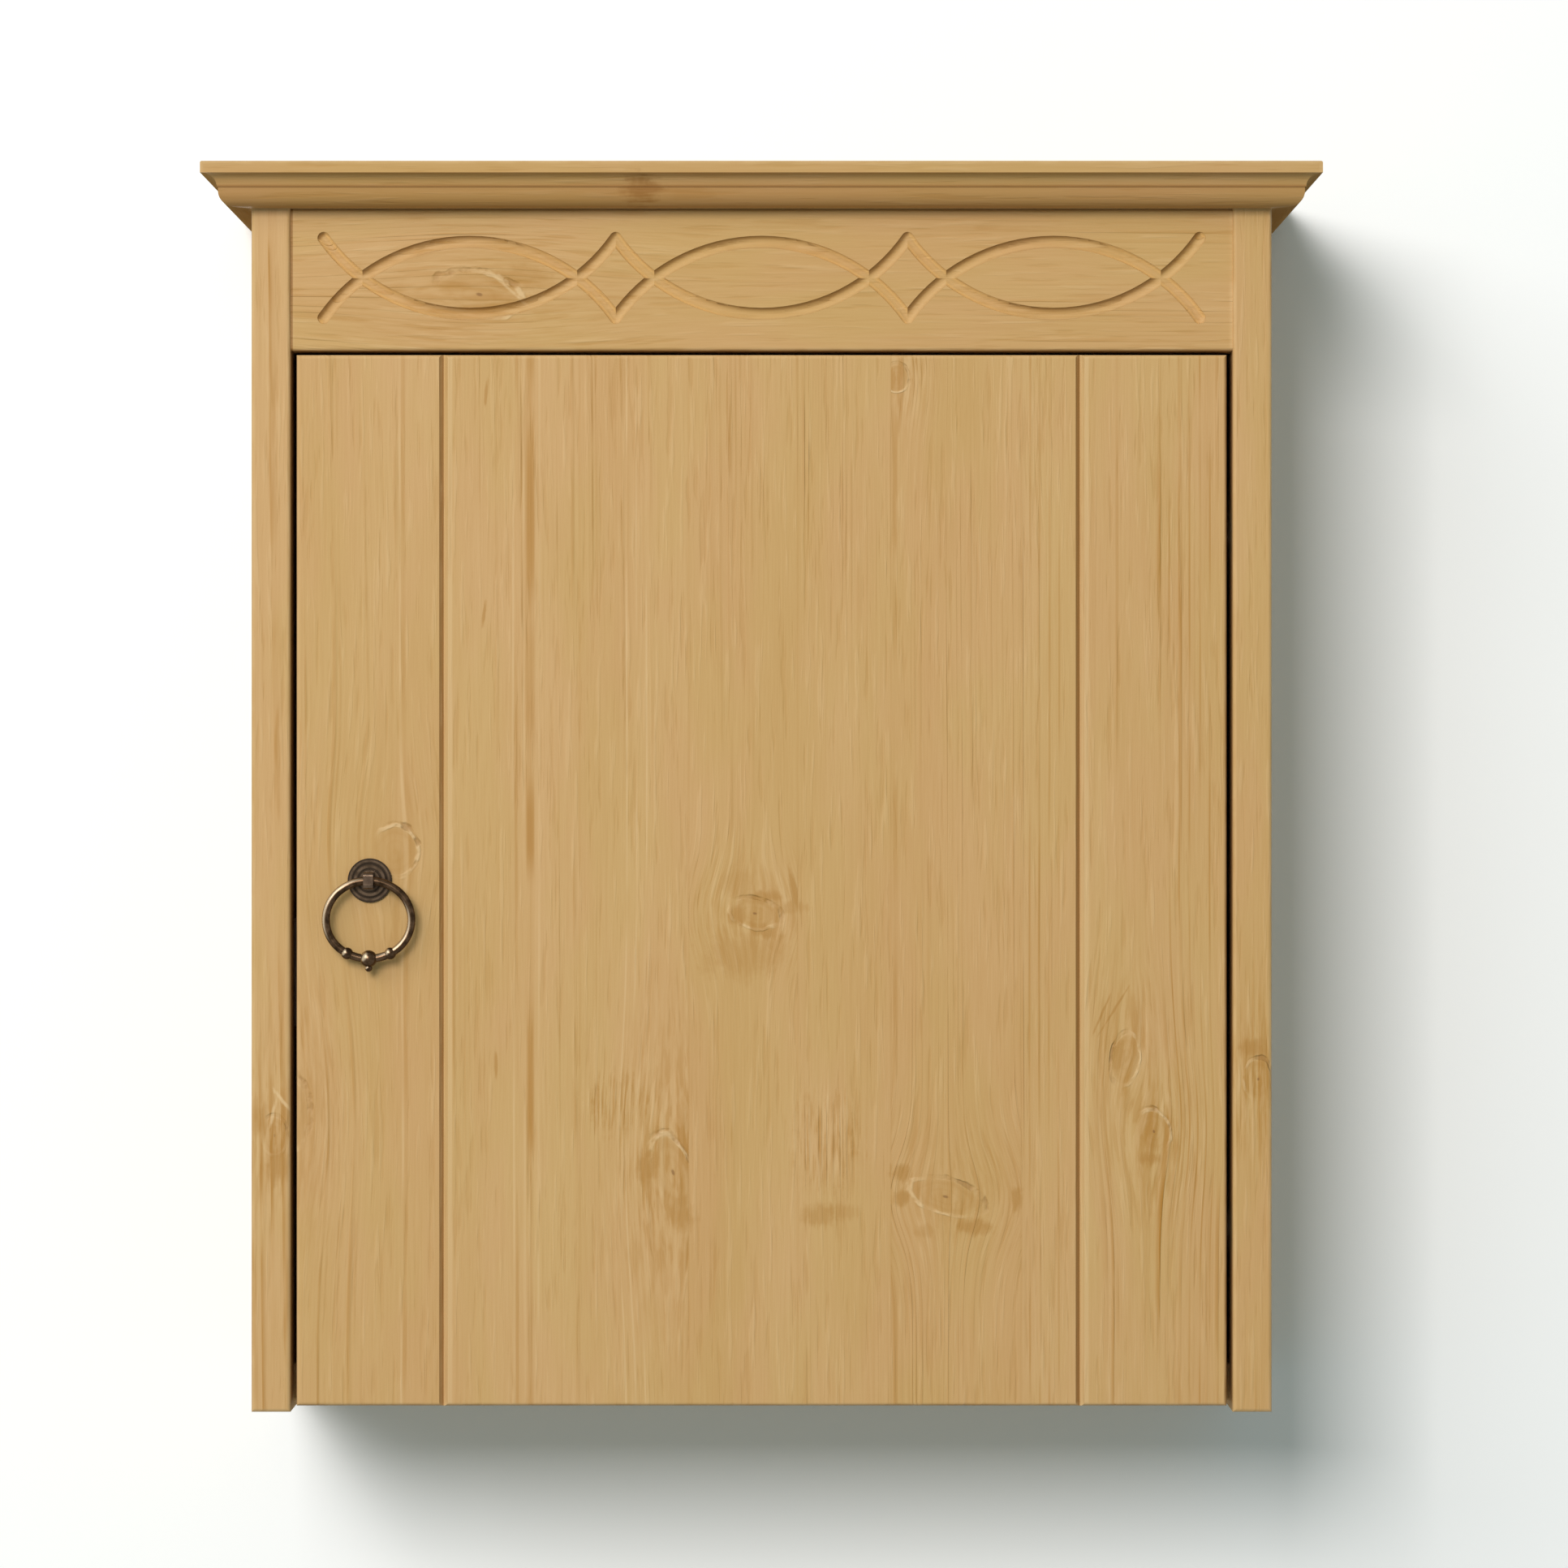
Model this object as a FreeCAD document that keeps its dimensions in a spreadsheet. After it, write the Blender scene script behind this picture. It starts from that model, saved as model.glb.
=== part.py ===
import FreeCAD, Part
import Sketcher
import math
import os
import re

# A wall-mounted pine cabinet with one inset door, in millimetres.
# X runs to the right, Y back to the wall, Z up. The origin lies on the wall, midway between the two
# hanging holes. Heights are written from the feet of the sides, and place() lowers each piece to suit.

sizes = {
    # carcass boards
    "carcass_width": 524,
    "carcass_depth": 210,
    "side_height": 618,
    "board": 20,
    "edge_round": 2,
    "bottom_lift": 3,
    "back_thick": 4,
    "rabbet_width": 8,
    "back_clear": 0.3,
    # crown moulding, and the board that it is glued round
    "crown_height": 22,
    "crown_projection": 24,
    "fascia_height": 6,
    "fascia_round": 1,
    "cove_top": 23.2,
    "cove_foot": 16.2,
    "bead_projection": 15.6,
    "bead_height": 9.6,
    "bead_round": 7.3,
    # frieze rail and its routed arcs
    "frieze_height": 73,
    "frieze_thick": 20,
    "arc_margin": 17,
    "arc_crest": 18.5,
    "arc_foot": 20.5,
    "arc_line": 37.5,
    "groove_depth": 2.4,
    "groove_bit": 3.3,
    # hanging rail
    "hang_drop": 30,
    "hang_inset": 42,
    "hang_hole": 3.5,
    "rail_height": 60,
    "rail_thick": 18,
    # shelf and its pins
    "shelf_thick": 18,
    "shelf_height": 264,
    "shelf_gap": 6,
    "shelf_clear": 1.5,
    "peg_radius": 2.5,
    "peg_reach": 8.5,
    "peg_collar": 4,
    "peg_collar_thick": 1.2,
    "peg_hole_depth": 10,
    "peg_pitch": 32,
    "peg_inset": 37,
    # door
    "door_thick": 20,
    "door_gap": 3,
    "head_gap": 2,
    "door_lift": 3,
    "door_inset": 2,
    "panel_gap": 2.5,
    "stile_width": 75.5,
    "vee_depth": 2.2,
    "tongue_thick": 6,
    "tongue_depth": 6,
    "joint_clear": 0.1,
    # battens on the back of the door
    "batten_height": 50,
    "batten_thick": 15,
    "batten_bevel": 4,
    "batten_inset": 30,
    "batten_foot": 147,
    "batten_head": 123,
    "batten_screw_edge": 49,
    "batten_screw_inner": 150,
    # dowels
    "dowel_radius": 4,
    "dowel_into_side": 13,
    "dowel_into_panel": 21,
    "bottom_dowel_inset": 45,
    "frieze_dowel_inset": 18,
    "rail_dowel_inset": 15,
    "top_dowel_inset": 32,
    "hole_clear": 0.05,
    "hole_extra": 0.5,
    # screws and nails
    "screw_radius": 1.75,
    "screw_head": 3.4,
    "head_height": 2,
    "screw_slot": 0.9,
    "slot_depth": 1,
    "short_screw": 14,
    "long_screw": 27,
    "nail_radius": 0.9,
    "nail_head": 2,
    "nail_head_height": 0.7,
    "nail_length": 18,
    "side_nail_inset": 62,
    "bottom_nail_inset": 120,
    # hinges
    "hinge_inset": 90,
    "pin_in": 7.5,
    "pin_back": 7.5,
    "pin_radius": 2,
    "pin_clear": 0.06,
    "pin_seat_clear": 0.02,
    "knuckle_radius": 3.8,
    "knuckle_half": 6.3,
    "knuckle_clear": 0.5,
    "cheek_thick": 4.2,
    "cheek_reach": 6.5,
    "cheek_edge": 2.5,
    "cup_radius": 17,
    "cup_edge": 3,
    "cup_depth": 11.5,
    "cup_wall": 1.6,
    "cup_clear": 0.2,
    "flange_thick": 1.5,
    "flange_margin": 0.8,
    "wing_half_width": 9,
    "wing_half_height": 30,
    "wing_round": 6,
    "wing_screw": 24.5,
    "arm_thick": 2,
    "arm_length": 88,
    "channel_start": 28,
    "channel_wall": 1.6,
    "channel_depth": 7,
    "plate_start": 34,
    "plate_length": 52,
    "plate_thick": 2.5,
    "plate_wing": 18,
    "plate_wing_half": 23,
    "plate_round": 5,
    "plate_screw": 16,
    "spine_clear": 0.4,
    "clamp_back": 76,
    "adjust_back": 44,
    "clamp_radius": 1.9,
    "clamp_length": 7,
    # magnetic catch
    "catch_height": 225,
    "catch_deep": 17,
    "catch_long": 24,
    "catch_half": 17,
    "catch_round": 1.2,
    "ear_thick": 3,
    "ear_half": 28,
    "ear_screw": 22.5,
    "magnet_in": 11,
    "magnet_thick": 7,
    "magnet_half": 12,
    "magnet_proud": 3.3,
    "magnet_seat": 6,
    "strike_thick": 1.2,
    "strike_width": 11,
    "strike_half": 21,
    "strike_screw": 16.5,
    "strike_gap": 0.3,
    # ring pull
    "rosette_radius": 11.3,
    "rosette_rim": 1.5,
    "rosette_step_radius": 8.4,
    "rosette_step": 2.6,
    "rosette_boss_radius": 5.6,
    "rosette_boss": 3.4,
    "rosette_groove": 0.6,
    "eye_width": 5,
    "eye_wall": 1.8,
    "eye_round": 2,
    "eye_clear": 0.35,
    "spigot_radius": 3.4,
    "spigot_length": 8,
    "ring_standoff": 9,
    "ring_half_width": 21.9,
    "ring_half_height": 20,
    "ring_end_radius": 19,
    "ring_wire": 2.1,
    "ball_radius": 4.4,
    "bead_ball": 3.1,
    "bead_spread": 11,
    "tip_radius": 1.9,
    "tip_drop": 4.8,
    "bolt_radius": 2,
    "bolt_head": 4,
    "bolt_bite": 6.2,
    "bolt_clear": 0.25,
    "washer_radius": 5,
    "washer_thick": 0.8,
}

doc = FreeCAD.newDocument("wall_cabinet")
sheet = doc.addObject("Spreadsheet::Sheet", "Sheet")
for row, (alias, value) in enumerate(sizes.items(), 1):
    sheet.set(f"A{row}", alias)
    sheet.set(f"B{row}", str(value))
    sheet.setAlias(f"B{row}", alias)
doc.recompute()

# Lengths and places that follow from the sizes, written as expressions
inner_half = "(carcass_width / 2 - board)"
door_front = "(door_inset - carcass_depth)"
door_back = "(door_inset + door_thick - carcass_depth)"
door_right = f"({inner_half} - door_gap)"
door_width = f"(2 * {door_right})"
door_height = "(side_height - frieze_height - head_gap - door_lift)"
door_middle = f"(door_lift + {door_height} / 2)"
bottom_front = f"({door_back} + panel_gap)"
bottom_depth = f"(-{bottom_front} - back_thick)"
shelf_front = f"({door_back} + shelf_gap)"
shelf_depth = f"(-{shelf_front} - back_thick - shelf_clear)"
rail_middle = "(-back_thick - rail_thick / 2)"
frieze_middle = f"({door_front} + frieze_thick / 2)"
frieze_foot = "(side_height - frieze_height)"
arc_pairs = 3
arc_pitch = f"((2 * {inner_half} - 2 * arc_margin) / {arc_pairs})"
arc_rise = "(arc_crest + arc_foot)"
arc_radius = f"((({arc_pitch} / 2) ^ 2 + {arc_rise} ^ 2) / (2 * {arc_rise}))"
hang_height = "(side_height - hang_drop)"
hang_holes = [f"({sign} * ({inner_half} - hang_inset))" for sign in (1, -1)]
peg_height = "(shelf_height - peg_radius)"
ring_end_across = "(ring_half_width - ring_end_radius)"
ring_flat_rise = "(ring_half_height - ring_end_radius)"
ring_flat_up = f"(({ring_end_across} ^ 2 - {ring_flat_rise} ^ 2) / (2 * {ring_flat_rise}))"
ring_flat_radius = f"({ring_flat_up} + ring_half_height)"
ring_turn = f"atan({ring_flat_up} / {ring_end_across})"
handle_across = f"(stile_width / 2 - {door_right})"
ring_back = f"({door_front} - ring_standoff)"
ring_middle = f"({door_middle} - ring_half_height)"
pin_across = f"({door_right} - pin_in)"
pin_deep = f"({door_front} + pin_back)"
door_back_at_pin = "(door_thick - pin_back)"
side_face_at_pin = "(pin_in + door_gap)"
cup_across = "(pin_in - cup_edge - cup_radius)"
slot_half = "(knuckle_half + knuckle_clear)"
slot_reach = "(knuckle_radius + knuckle_clear)"
cheek_half = f"({slot_half} + cheek_thick)"
catch_front = f"({door_back} + strike_thick + strike_gap + magnet_proud)"

# Where the fixings go: (back, up) on the sides, (across, up) on the back panel and the door
bottom_middle = "(bottom_lift + board / 2)"
bottom_dowels = [(f"({bottom_front} + bottom_dowel_inset)", bottom_middle),
                 ("(-back_thick - bottom_dowel_inset)", bottom_middle)]
frieze_dowels = [(frieze_middle, f"({frieze_foot} + frieze_dowel_inset)"),
                 (frieze_middle, "(side_height - frieze_dowel_inset)")]
rail_dowels = [(rail_middle, "(side_height - rail_height + rail_dowel_inset)"),
               (rail_middle, "(side_height - rail_dowel_inset)")]
top_dowels = ["(top_dowel_inset - carcass_depth)", "(-carcass_depth / 2)", "(-top_dowel_inset)"]
peg_backs = [f"({shelf_front} + peg_inset)", "(-back_thick - peg_inset)"]
peg_rows = [(back, f"({peg_height} + peg_pitch * {step})") for back in peg_backs for step in (-1, 0, 1)]
hinges = {"lower": "(door_lift + hinge_inset)", "upper": f"(door_lift + {door_height} - hinge_inset)"}
plate_back = f"({pin_deep} + plate_start + plate_length / 2)"
plate_screws = [(plate_back, f"({height} + {sign} * plate_screw)")
                for height in hinges.values() for sign in (1, -1)]
clamp_backs = ["clamp_back", "adjust_back"]
ear_back = f"({catch_front} + catch_long / 2)"
ear_screws = [(ear_back, f"(catch_height + {sign} * ear_screw)") for sign in (1, -1)]
nail_spaces = 2
side_nails = [f"(side_nail_inset + (side_height - 2 * side_nail_inset) * {step} / {nail_spaces})"
              for step in range(nail_spaces + 1)]
bottom_nails = [(f"({sign} * ({inner_half} - bottom_nail_inset))", bottom_middle) for sign in (1, -1)]
rail_nails = [("0", "(side_height - rail_height / 2)")]
panel_nails = [(f"({sign} * ({inner_half} + rabbet_width / 2))", up)
               for sign in (1, -1) for up in side_nails] + bottom_nails + rail_nails
nail_reach = "(nail_head_height + nail_length - back_thick + hole_extra)"
battens = {"lower": "(door_lift + batten_foot)",
           "upper": f"(door_lift + {door_height} - batten_head - batten_height)"}
left_board_screws = ["batten_screw_edge"]
panel_screws = ["batten_screw_inner", f"({door_width} - batten_screw_inner)"]
right_board_screws = [f"({door_width} - batten_screw_edge)"]
batten_screws = left_board_screws + panel_screws + right_board_screws

right = (1, 0, 0)
left = (-1, 0, 0)
rear = (0, 1, 0)
downward = (0, 0, -1)

# The plane that each axis pierces, and whether the plane's normal runs with the axis or against it
planes = {"x": ("YZ_Plane", 1), "y": ("XZ_Plane", -1), "z": ("XY_Plane", 1)}
nodes = []


def terms(text):
    """The expression with each size given as a cell of the sheet."""
    return re.sub(r"[a-z_]+", lambda word: f"Sheet.{word[0]}" if word[0] in sizes else word[0], str(text))


def size(text):
    """The present value of an expression."""
    value = sheet.evalExpression(str(text))
    return float(getattr(value, "Value", value))


def place(piece, across="0", back="0", up="0", facing=None):
    """Puts a piece at a point, with its own Z axis turned to face the given way."""
    if facing:
        piece.Placement.Rotation = FreeCAD.Rotation(FreeCAD.Vector(0, 0, 1), FreeCAD.Vector(*facing))
    piece.setExpression("Placement.Base.x", terms(across))
    piece.setExpression("Placement.Base.y", terms(back))
    piece.setExpression("Placement.Base.z", terms(f"{up} - {hang_height}"))


def new_body(label):
    body = doc.addObject("PartDesign::Body", label)
    body.Label = label
    return body


def sketch_on(body, axis, at="0"):
    """An empty sketch across the given axis, at the given distance along it."""
    role, sense = planes[axis]
    sketch = body.newObject("Sketcher::SketchObject", f"{body.Name}_sketch")
    plane = [feature for feature in body.Origin.OriginFeatures if feature.Role == role][0]
    sketch.AttachmentSupport = [(plane, "")]
    sketch.MapMode = "FlatFace"
    sketch.setExpression("AttachmentOffset.Base.z", terms(f"{sense} * ({at})"))
    return sketch


def fix(sketch, kind, target, expression):
    """One driving dimension of a sketch, tied to the sheet."""
    index = sketch.addConstraint(Sketcher.Constraint(kind, *target, size(expression)))
    sketch.setExpression(f"Constraints[{index}]", terms(expression))


def arc_between(begin, end, radius, sense):
    """The shorter arc between two points, turning left for a sense of 1 and right for -1."""
    chord = end - begin
    rise = math.sqrt(max(radius ** 2 - (chord.Length / 2) ** 2, 0))
    normal = FreeCAD.Vector(-chord.y, chord.x, 0).normalize()
    centre = (begin + end) / 2 + normal * rise * sense
    ends = (begin, end) if sense > 0 else (end, begin)
    angles = [math.atan2(point.y - centre.y, point.x - centre.x) for point in ends]
    return Part.ArcOfCircle(Part.Circle(centre, FreeCAD.Vector(0, 0, 1), radius), *angles)


def outline(sketch, corners):
    """A closed outline through its corners. A corner with a radius and a sense ends an arc."""
    points = [FreeCAD.Vector(size(corner[0]), size(corner[1]), 0) for corner in corners]
    first = sketch.GeometryCount
    starts = []
    ends = []
    for index, corner in enumerate(corners):
        turns_right = len(corner) > 2 and corner[3] < 0
        starts.append(2 if turns_right else 1)
        ends.append(1 if turns_right else 2)
        if len(corner) > 2:
            edge = arc_between(points[index - 1], points[index], size(corner[2]), corner[3])
        else:
            edge = Part.LineSegment(points[index - 1], points[index])
        sketch.addGeometry(edge, False)
    for index in range(len(corners)):
        after = (index + 1) % len(corners)
        joint = (first + index, ends[index], first + after, starts[after])
        sketch.addConstraint(Sketcher.Constraint("Coincident", *joint))
    for index, corner in enumerate(corners):
        point = (-1, 1, first + index, ends[index])
        fix(sketch, "DistanceX", point, corner[0])
        fix(sketch, "DistanceY", point, corner[1])
        if len(corner) > 2:
            fix(sketch, "Radius", (first + index,), corner[2])


def circle(sketch, across, up, radius):
    index = sketch.GeometryCount
    centre = FreeCAD.Vector(size(across), size(up), 0)
    sketch.addGeometry(Part.Circle(centre, FreeCAD.Vector(0, 0, 1), size(radius)), False)
    fix(sketch, "DistanceX", (-1, 1, index, 3), across)
    fix(sketch, "DistanceY", (-1, 1, index, 3), up)
    fix(sketch, "Radius", (index,), radius)


def turning_line(sketch, up, length):
    """A level construction line at the given height, as the axis of a groove."""
    ends = [FreeCAD.Vector(size(across), size(up), 0) for across in ("0", length)]
    index = sketch.addGeometry(Part.LineSegment(*ends), True)
    for end, across in ((1, "0"), (2, length)):
        fix(sketch, "DistanceX", (-1, 1, index, end), across)
        fix(sketch, "DistanceY", (-1, 1, index, end), up)


def rectangle(low_across, low_up, high_across, high_up):
    return [(low_across, low_up), (high_across, low_up), (high_across, high_up), (low_across, high_up)]


def pad(body, axis, sketch, length, toward):
    """Raises a sketch along its axis."""
    feature = body.newObject("PartDesign::Pad", f"{body.Name}_pad")
    feature.Profile = sketch
    feature.Reversed = planes[axis][1] * toward < 0
    feature.setExpression("Length", terms(length))
    doc.recompute()


def pocket(body, axis, sketch, depth, toward):
    """Sinks a sketch along its axis, and makes sure that it removes something."""
    before = body.Shape.Volume
    feature = body.newObject("PartDesign::Pocket", f"{body.Name}_pocket")
    feature.Profile = sketch
    feature.Reversed = planes[axis][1] * toward > 0
    feature.setExpression("Length", terms(depth))
    doc.recompute()
    if body.Shape.Volume > before - 1e-6:
        raise ValueError(f"{feature.Name} removes nothing")


def pad_outline(body, axis, corners, length, at="0", toward=1):
    sketch = sketch_on(body, axis, at)
    outline(sketch, corners)
    pad(body, axis, sketch, length, toward)


def pad_disc(body, axis, across, up, radius, length, at="0", toward=1):
    sketch = sketch_on(body, axis, at)
    circle(sketch, across, up, radius)
    pad(body, axis, sketch, length, toward)


def cut_outline(body, axis, corners, depth, at="0", toward=1):
    sketch = sketch_on(body, axis, at)
    outline(sketch, corners)
    pocket(body, axis, sketch, depth, toward)


def bore(body, axis, centres, radius, depth, at="0", toward=1):
    """Round holes of one radius and depth, drilled from one plane."""
    sketch = sketch_on(body, axis, at)
    for across, up in centres:
        circle(sketch, across, up, radius)
    pocket(body, axis, sketch, depth, toward)


def revolve(body, corners, axis="y"):
    """Turns a half outline about the upright axis of its sketch."""
    sketch = sketch_on(body, axis)
    outline(sketch, corners)
    feature = body.newObject("PartDesign::Revolution", f"{body.Name}_revolution")
    feature.Profile = sketch
    feature.ReferenceAxis = (sketch, ["V_Axis"])
    feature.Angle = 360
    doc.recompute()


def ease(body, chosen, radius):
    """Rounds the straight edges whose middle point and direction pass the test."""
    base = body.Tip
    names = []
    for index, edge in enumerate(base.Shape.Edges, 1):
        straight = edge.Curve.TypeId == "Part::GeomLine"
        if straight and chosen(edge.CenterOfMass, edge.tangentAt(edge.FirstParameter)):
            names.append(f"Edge{index}")
    feature = body.newObject("PartDesign::Fillet", f"{body.Name}_fillet")
    feature.Base = (base, names)
    feature.setExpression("Radius", terms(radius))
    doc.recompute()


def near(value, expression):
    return abs(value - size(expression)) < 1e-4


def copies(label, pattern, spots):
    """One node of equal pieces. A spot is a point, and the way that the pattern's Z axis faces there."""
    links = []
    for across, back, up, facing in spots:
        link = doc.addObject("App::Link", f"{label}_copy")
        link.LinkedObject = pattern
        link.LinkTransform = False
        place(link, across, back, up, facing)
        links.append(link)
    group = doc.addObject("Part::Compound", label)
    group.Label = label
    group.Links = links
    nodes.append(group)


# Fixings, each modelled once with its seat at its own origin and its head up

def slotted_screw(label, shank, length, head):
    """A screw with a flat, slotted head."""
    body = new_body(label)
    revolve(body, [
        ("0", f"-{length}"),
        (shank, f"-{length}"),
        (shank, "0"),
        (head, "0"),
        (head, "head_height"),
        ("0", "head_height"),
    ])
    slot = rectangle(f"-{head}", "-screw_slot / 2", head, "screw_slot / 2")
    cut_outline(body, "z", slot, "slot_depth", at="head_height", toward=-1)
    return body


def make_fixings():
    short = slotted_screw("short_screw_pattern", "screw_radius", "short_screw", "screw_head")
    long = slotted_screw("long_screw_pattern", "screw_radius", "long_screw", "screw_head")
    clamp = slotted_screw("clamp_screw_pattern", "clamp_radius", "clamp_length", "screw_head")
    nail = new_body("panel_nail_pattern")
    revolve(nail, [
        ("0", "-nail_length"),
        ("nail_radius", "-nail_length"),
        ("nail_radius", "0"),
        ("nail_head", "0"),
        ("nail_head", "nail_head_height"),
        ("0", "nail_head_height"),
    ])
    dowel = new_body("dowel_pattern")
    revolve(dowel, [
        ("0", "-dowel_into_side"),
        ("dowel_radius", "-dowel_into_side"),
        ("dowel_radius", "dowel_into_panel"),
        ("0", "dowel_into_panel"),
    ])
    peg = new_body("shelf_pin_pattern")
    revolve(peg, [
        ("0", "hole_extra - peg_hole_depth"),
        ("peg_radius", "hole_extra - peg_hole_depth"),
        ("peg_radius", "0"),
        ("peg_collar", "0"),
        ("peg_collar", "peg_collar_thick"),
        ("peg_radius", "peg_collar_thick"),
        ("peg_radius", "peg_reach"),
        ("0", "peg_reach"),
    ])
    both_sides = ((f"-{inner_half}", right), (inner_half, left))
    for label, spots in (("bottom_dowels", bottom_dowels), ("frieze_dowels", frieze_dowels),
                         ("rail_dowels", rail_dowels)):
        copies(label, dowel, [(across, back, up, way) for across, way in both_sides for back, up in spots])
    copies("top_dowels", dowel, [(f"{sign} * ({inner_half} + board / 2)", back, "side_height", downward)
                                 for sign in (1, -1) for back in top_dowels])
    copies("shelf_pins", peg, [(across, back, peg_height, way)
                               for across, way in both_sides for back in peg_backs])
    copies("back_panel_nails", nail, [(across, "-nail_head_height", up, rear) for across, up in panel_nails])
    copies("hinge_plate_screws", short, [(f"{inner_half} - plate_thick", back, up, left)
                                         for back, up in plate_screws])
    copies("hinge_arm_screws", clamp, [
        (f"{pin_across} - arm_thick / 2", f"{pin_deep} + {back}", height, left)
        for height in hinges.values() for back in clamp_backs])
    copies("hinge_cup_screws", short, [(f"{pin_across} + {cup_across}", f"{door_back} + flange_thick",
                                        f"{height} + {sign} * wing_screw", rear)
                                       for height in hinges.values() for sign in (1, -1)])
    copies("catch_screws", short, [
        (f"ear_thick - {inner_half}", back, up, right) for back, up in ear_screws])
    copies("strike_screws", short, [(f"magnet_in - {inner_half}", f"{door_back} + strike_thick",
                                     f"catch_height + {sign} * strike_screw", rear) for sign in (1, -1)])
    copies("door_batten_screws", long, [(f"{across} - {door_right}", f"{door_back} + batten_thick",
                                         f"{height} + batten_height / 2", rear)
                                        for height in battens.values() for across in batten_screws])


# Carcass

def side(label, sign):
    """An upright board, rabbeted for the back panel, with eased front edges."""
    body = new_body(label)
    pad_outline(body, "z", [
        (f"{sign} * edge_round", "-carcass_depth", "edge_round", sign),
        (f"{sign} * (board - edge_round)", "-carcass_depth"),
        (f"{sign} * board", "edge_round - carcass_depth", "edge_round", sign),
        (f"{sign} * board", "0"),
        (f"{sign} * rabbet_width", "0"),
        (f"{sign} * rabbet_width", "-back_thick"),
        ("0", "-back_thick"),
        ("0", "edge_round - carcass_depth"),
    ], "side_height")
    toe = [("-carcass_depth", "0"), ("edge_round - carcass_depth", "0"),
           ("-carcass_depth", "edge_round", "edge_round", -1)]
    cut_outline(body, "x", toe, "board", toward=sign)
    dowel_spots = bottom_dowels + frieze_dowels + rail_dowels
    bore(body, "x", dowel_spots, "dowel_radius + hole_clear", "dowel_into_side + hole_extra", toward=sign)
    bore(body, "x", peg_rows, "peg_radius + hole_clear", "peg_hole_depth", toward=sign)
    screws, seat = (plate_screws, "plate_thick") if sign > 0 else (ear_screws, "ear_thick")
    bore(body, "x", screws, "screw_radius + hole_clear", f"short_screw - {seat} + hole_extra", toward=sign)
    bore(body, "z", [(f"{sign} * board / 2", back) for back in top_dowels], "dowel_radius + hole_clear",
         "dowel_into_panel + hole_extra", at="side_height", toward=-1)
    nails = [(f"{sign} * rabbet_width / 2", up) for up in side_nails]
    bore(body, "y", nails, "nail_radius + hole_clear", nail_reach, at="-back_thick", toward=-1)
    place(body, f"{sign} * {inner_half}")
    nodes.append(body)


def cross_board(label, half_length, depth, height, front_round):
    """A board that runs from side to side, with its front edges eased."""
    body = new_body(label)
    pad_outline(body, "x", [
        (front_round, "0", front_round, 1),
        (depth, "0"),
        (depth, height),
        (front_round, height),
        ("0", f"{height} - {front_round}", front_round, 1),
        ("0", front_round),
    ], f"2 * {half_length}", at=f"-{half_length}")
    return body


def dowel_ends(body, spots, back, up):
    """Dowel holes in both ends of a cross board whose own origin lies at the given height and depth."""
    centres = [(f"{spot_back} - {back}", f"{spot_up} - {up}") for spot_back, spot_up in spots]
    for sign in (1, -1):
        bore(body, "x", centres, "dowel_radius + hole_clear", "dowel_into_panel + hole_extra",
             at=f"{sign} * {inner_half}", toward=-sign)


def bottom_panel():
    body = cross_board("bottom_panel", inner_half, bottom_depth, "board", "edge_round")
    dowel_ends(body, bottom_dowels, bottom_front, "bottom_lift")
    nails = [(across, f"{up} - bottom_lift") for across, up in bottom_nails]
    bore(body, "y", nails, "nail_radius + hole_clear", nail_reach, at=bottom_depth, toward=-1)
    place(body, back=bottom_front, up="bottom_lift")
    nodes.append(body)


def shelf():
    body = cross_board("shelf", f"({inner_half} - shelf_clear)", shelf_depth, "shelf_thick", "edge_round")
    place(body, back=shelf_front, up="shelf_height")
    nodes.append(body)


def hanging_rail():
    body = new_body("hanging_rail")
    foot = "(side_height - rail_height)"
    face = "(-back_thick - rail_thick)"
    pad_outline(body, "x", rectangle("0", "0", "rail_thick", "rail_height"), f"2 * {inner_half}",
                at=f"-{inner_half}")
    dowel_ends(body, rail_dowels, face, foot)
    holes = [(across, f"{hang_height} - {foot}") for across in hang_holes]
    bore(body, "y", holes, "hang_hole", "rail_thick")
    nails = [(across, f"{up} - {foot}") for across, up in rail_nails]
    bore(body, "y", nails, "nail_radius + hole_clear", nail_reach, at="rail_thick", toward=-1)
    place(body, back=face, up=foot)
    nodes.append(body)


def back_panel():
    """A thin panel let into the rabbets of the sides, flush with their back edges."""
    body = new_body("back_panel")
    half = f"({inner_half} + rabbet_width - back_clear)"
    pad_outline(body, "y", rectangle(f"-{half}", "bottom_lift", half, "side_height"), "back_thick",
                at="-back_thick")
    bore(body, "y", [(across, hang_height) for across in hang_holes], "hang_hole", "back_thick",
         at="-back_thick")
    bore(body, "y", panel_nails, "nail_radius + hole_clear", "back_thick", at="-back_thick")
    bore(body, "y", panel_nails, "nail_head + hole_clear", "nail_head_height", toward=-1)
    place(body)
    nodes.append(body)


def top_board():
    body = new_body("top_board")
    pad_outline(body, "z", rectangle("-carcass_width / 2", "-carcass_depth", "carcass_width / 2", "0"),
                "crown_height")
    holes = [(f"{sign} * ({inner_half} + board / 2)", back) for sign in (1, -1) for back in top_dowels]
    bore(body, "z", holes, "dowel_radius + hole_clear", "dowel_into_side + hole_extra")
    place(body, up="side_height")
    nodes.append(body)


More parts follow.
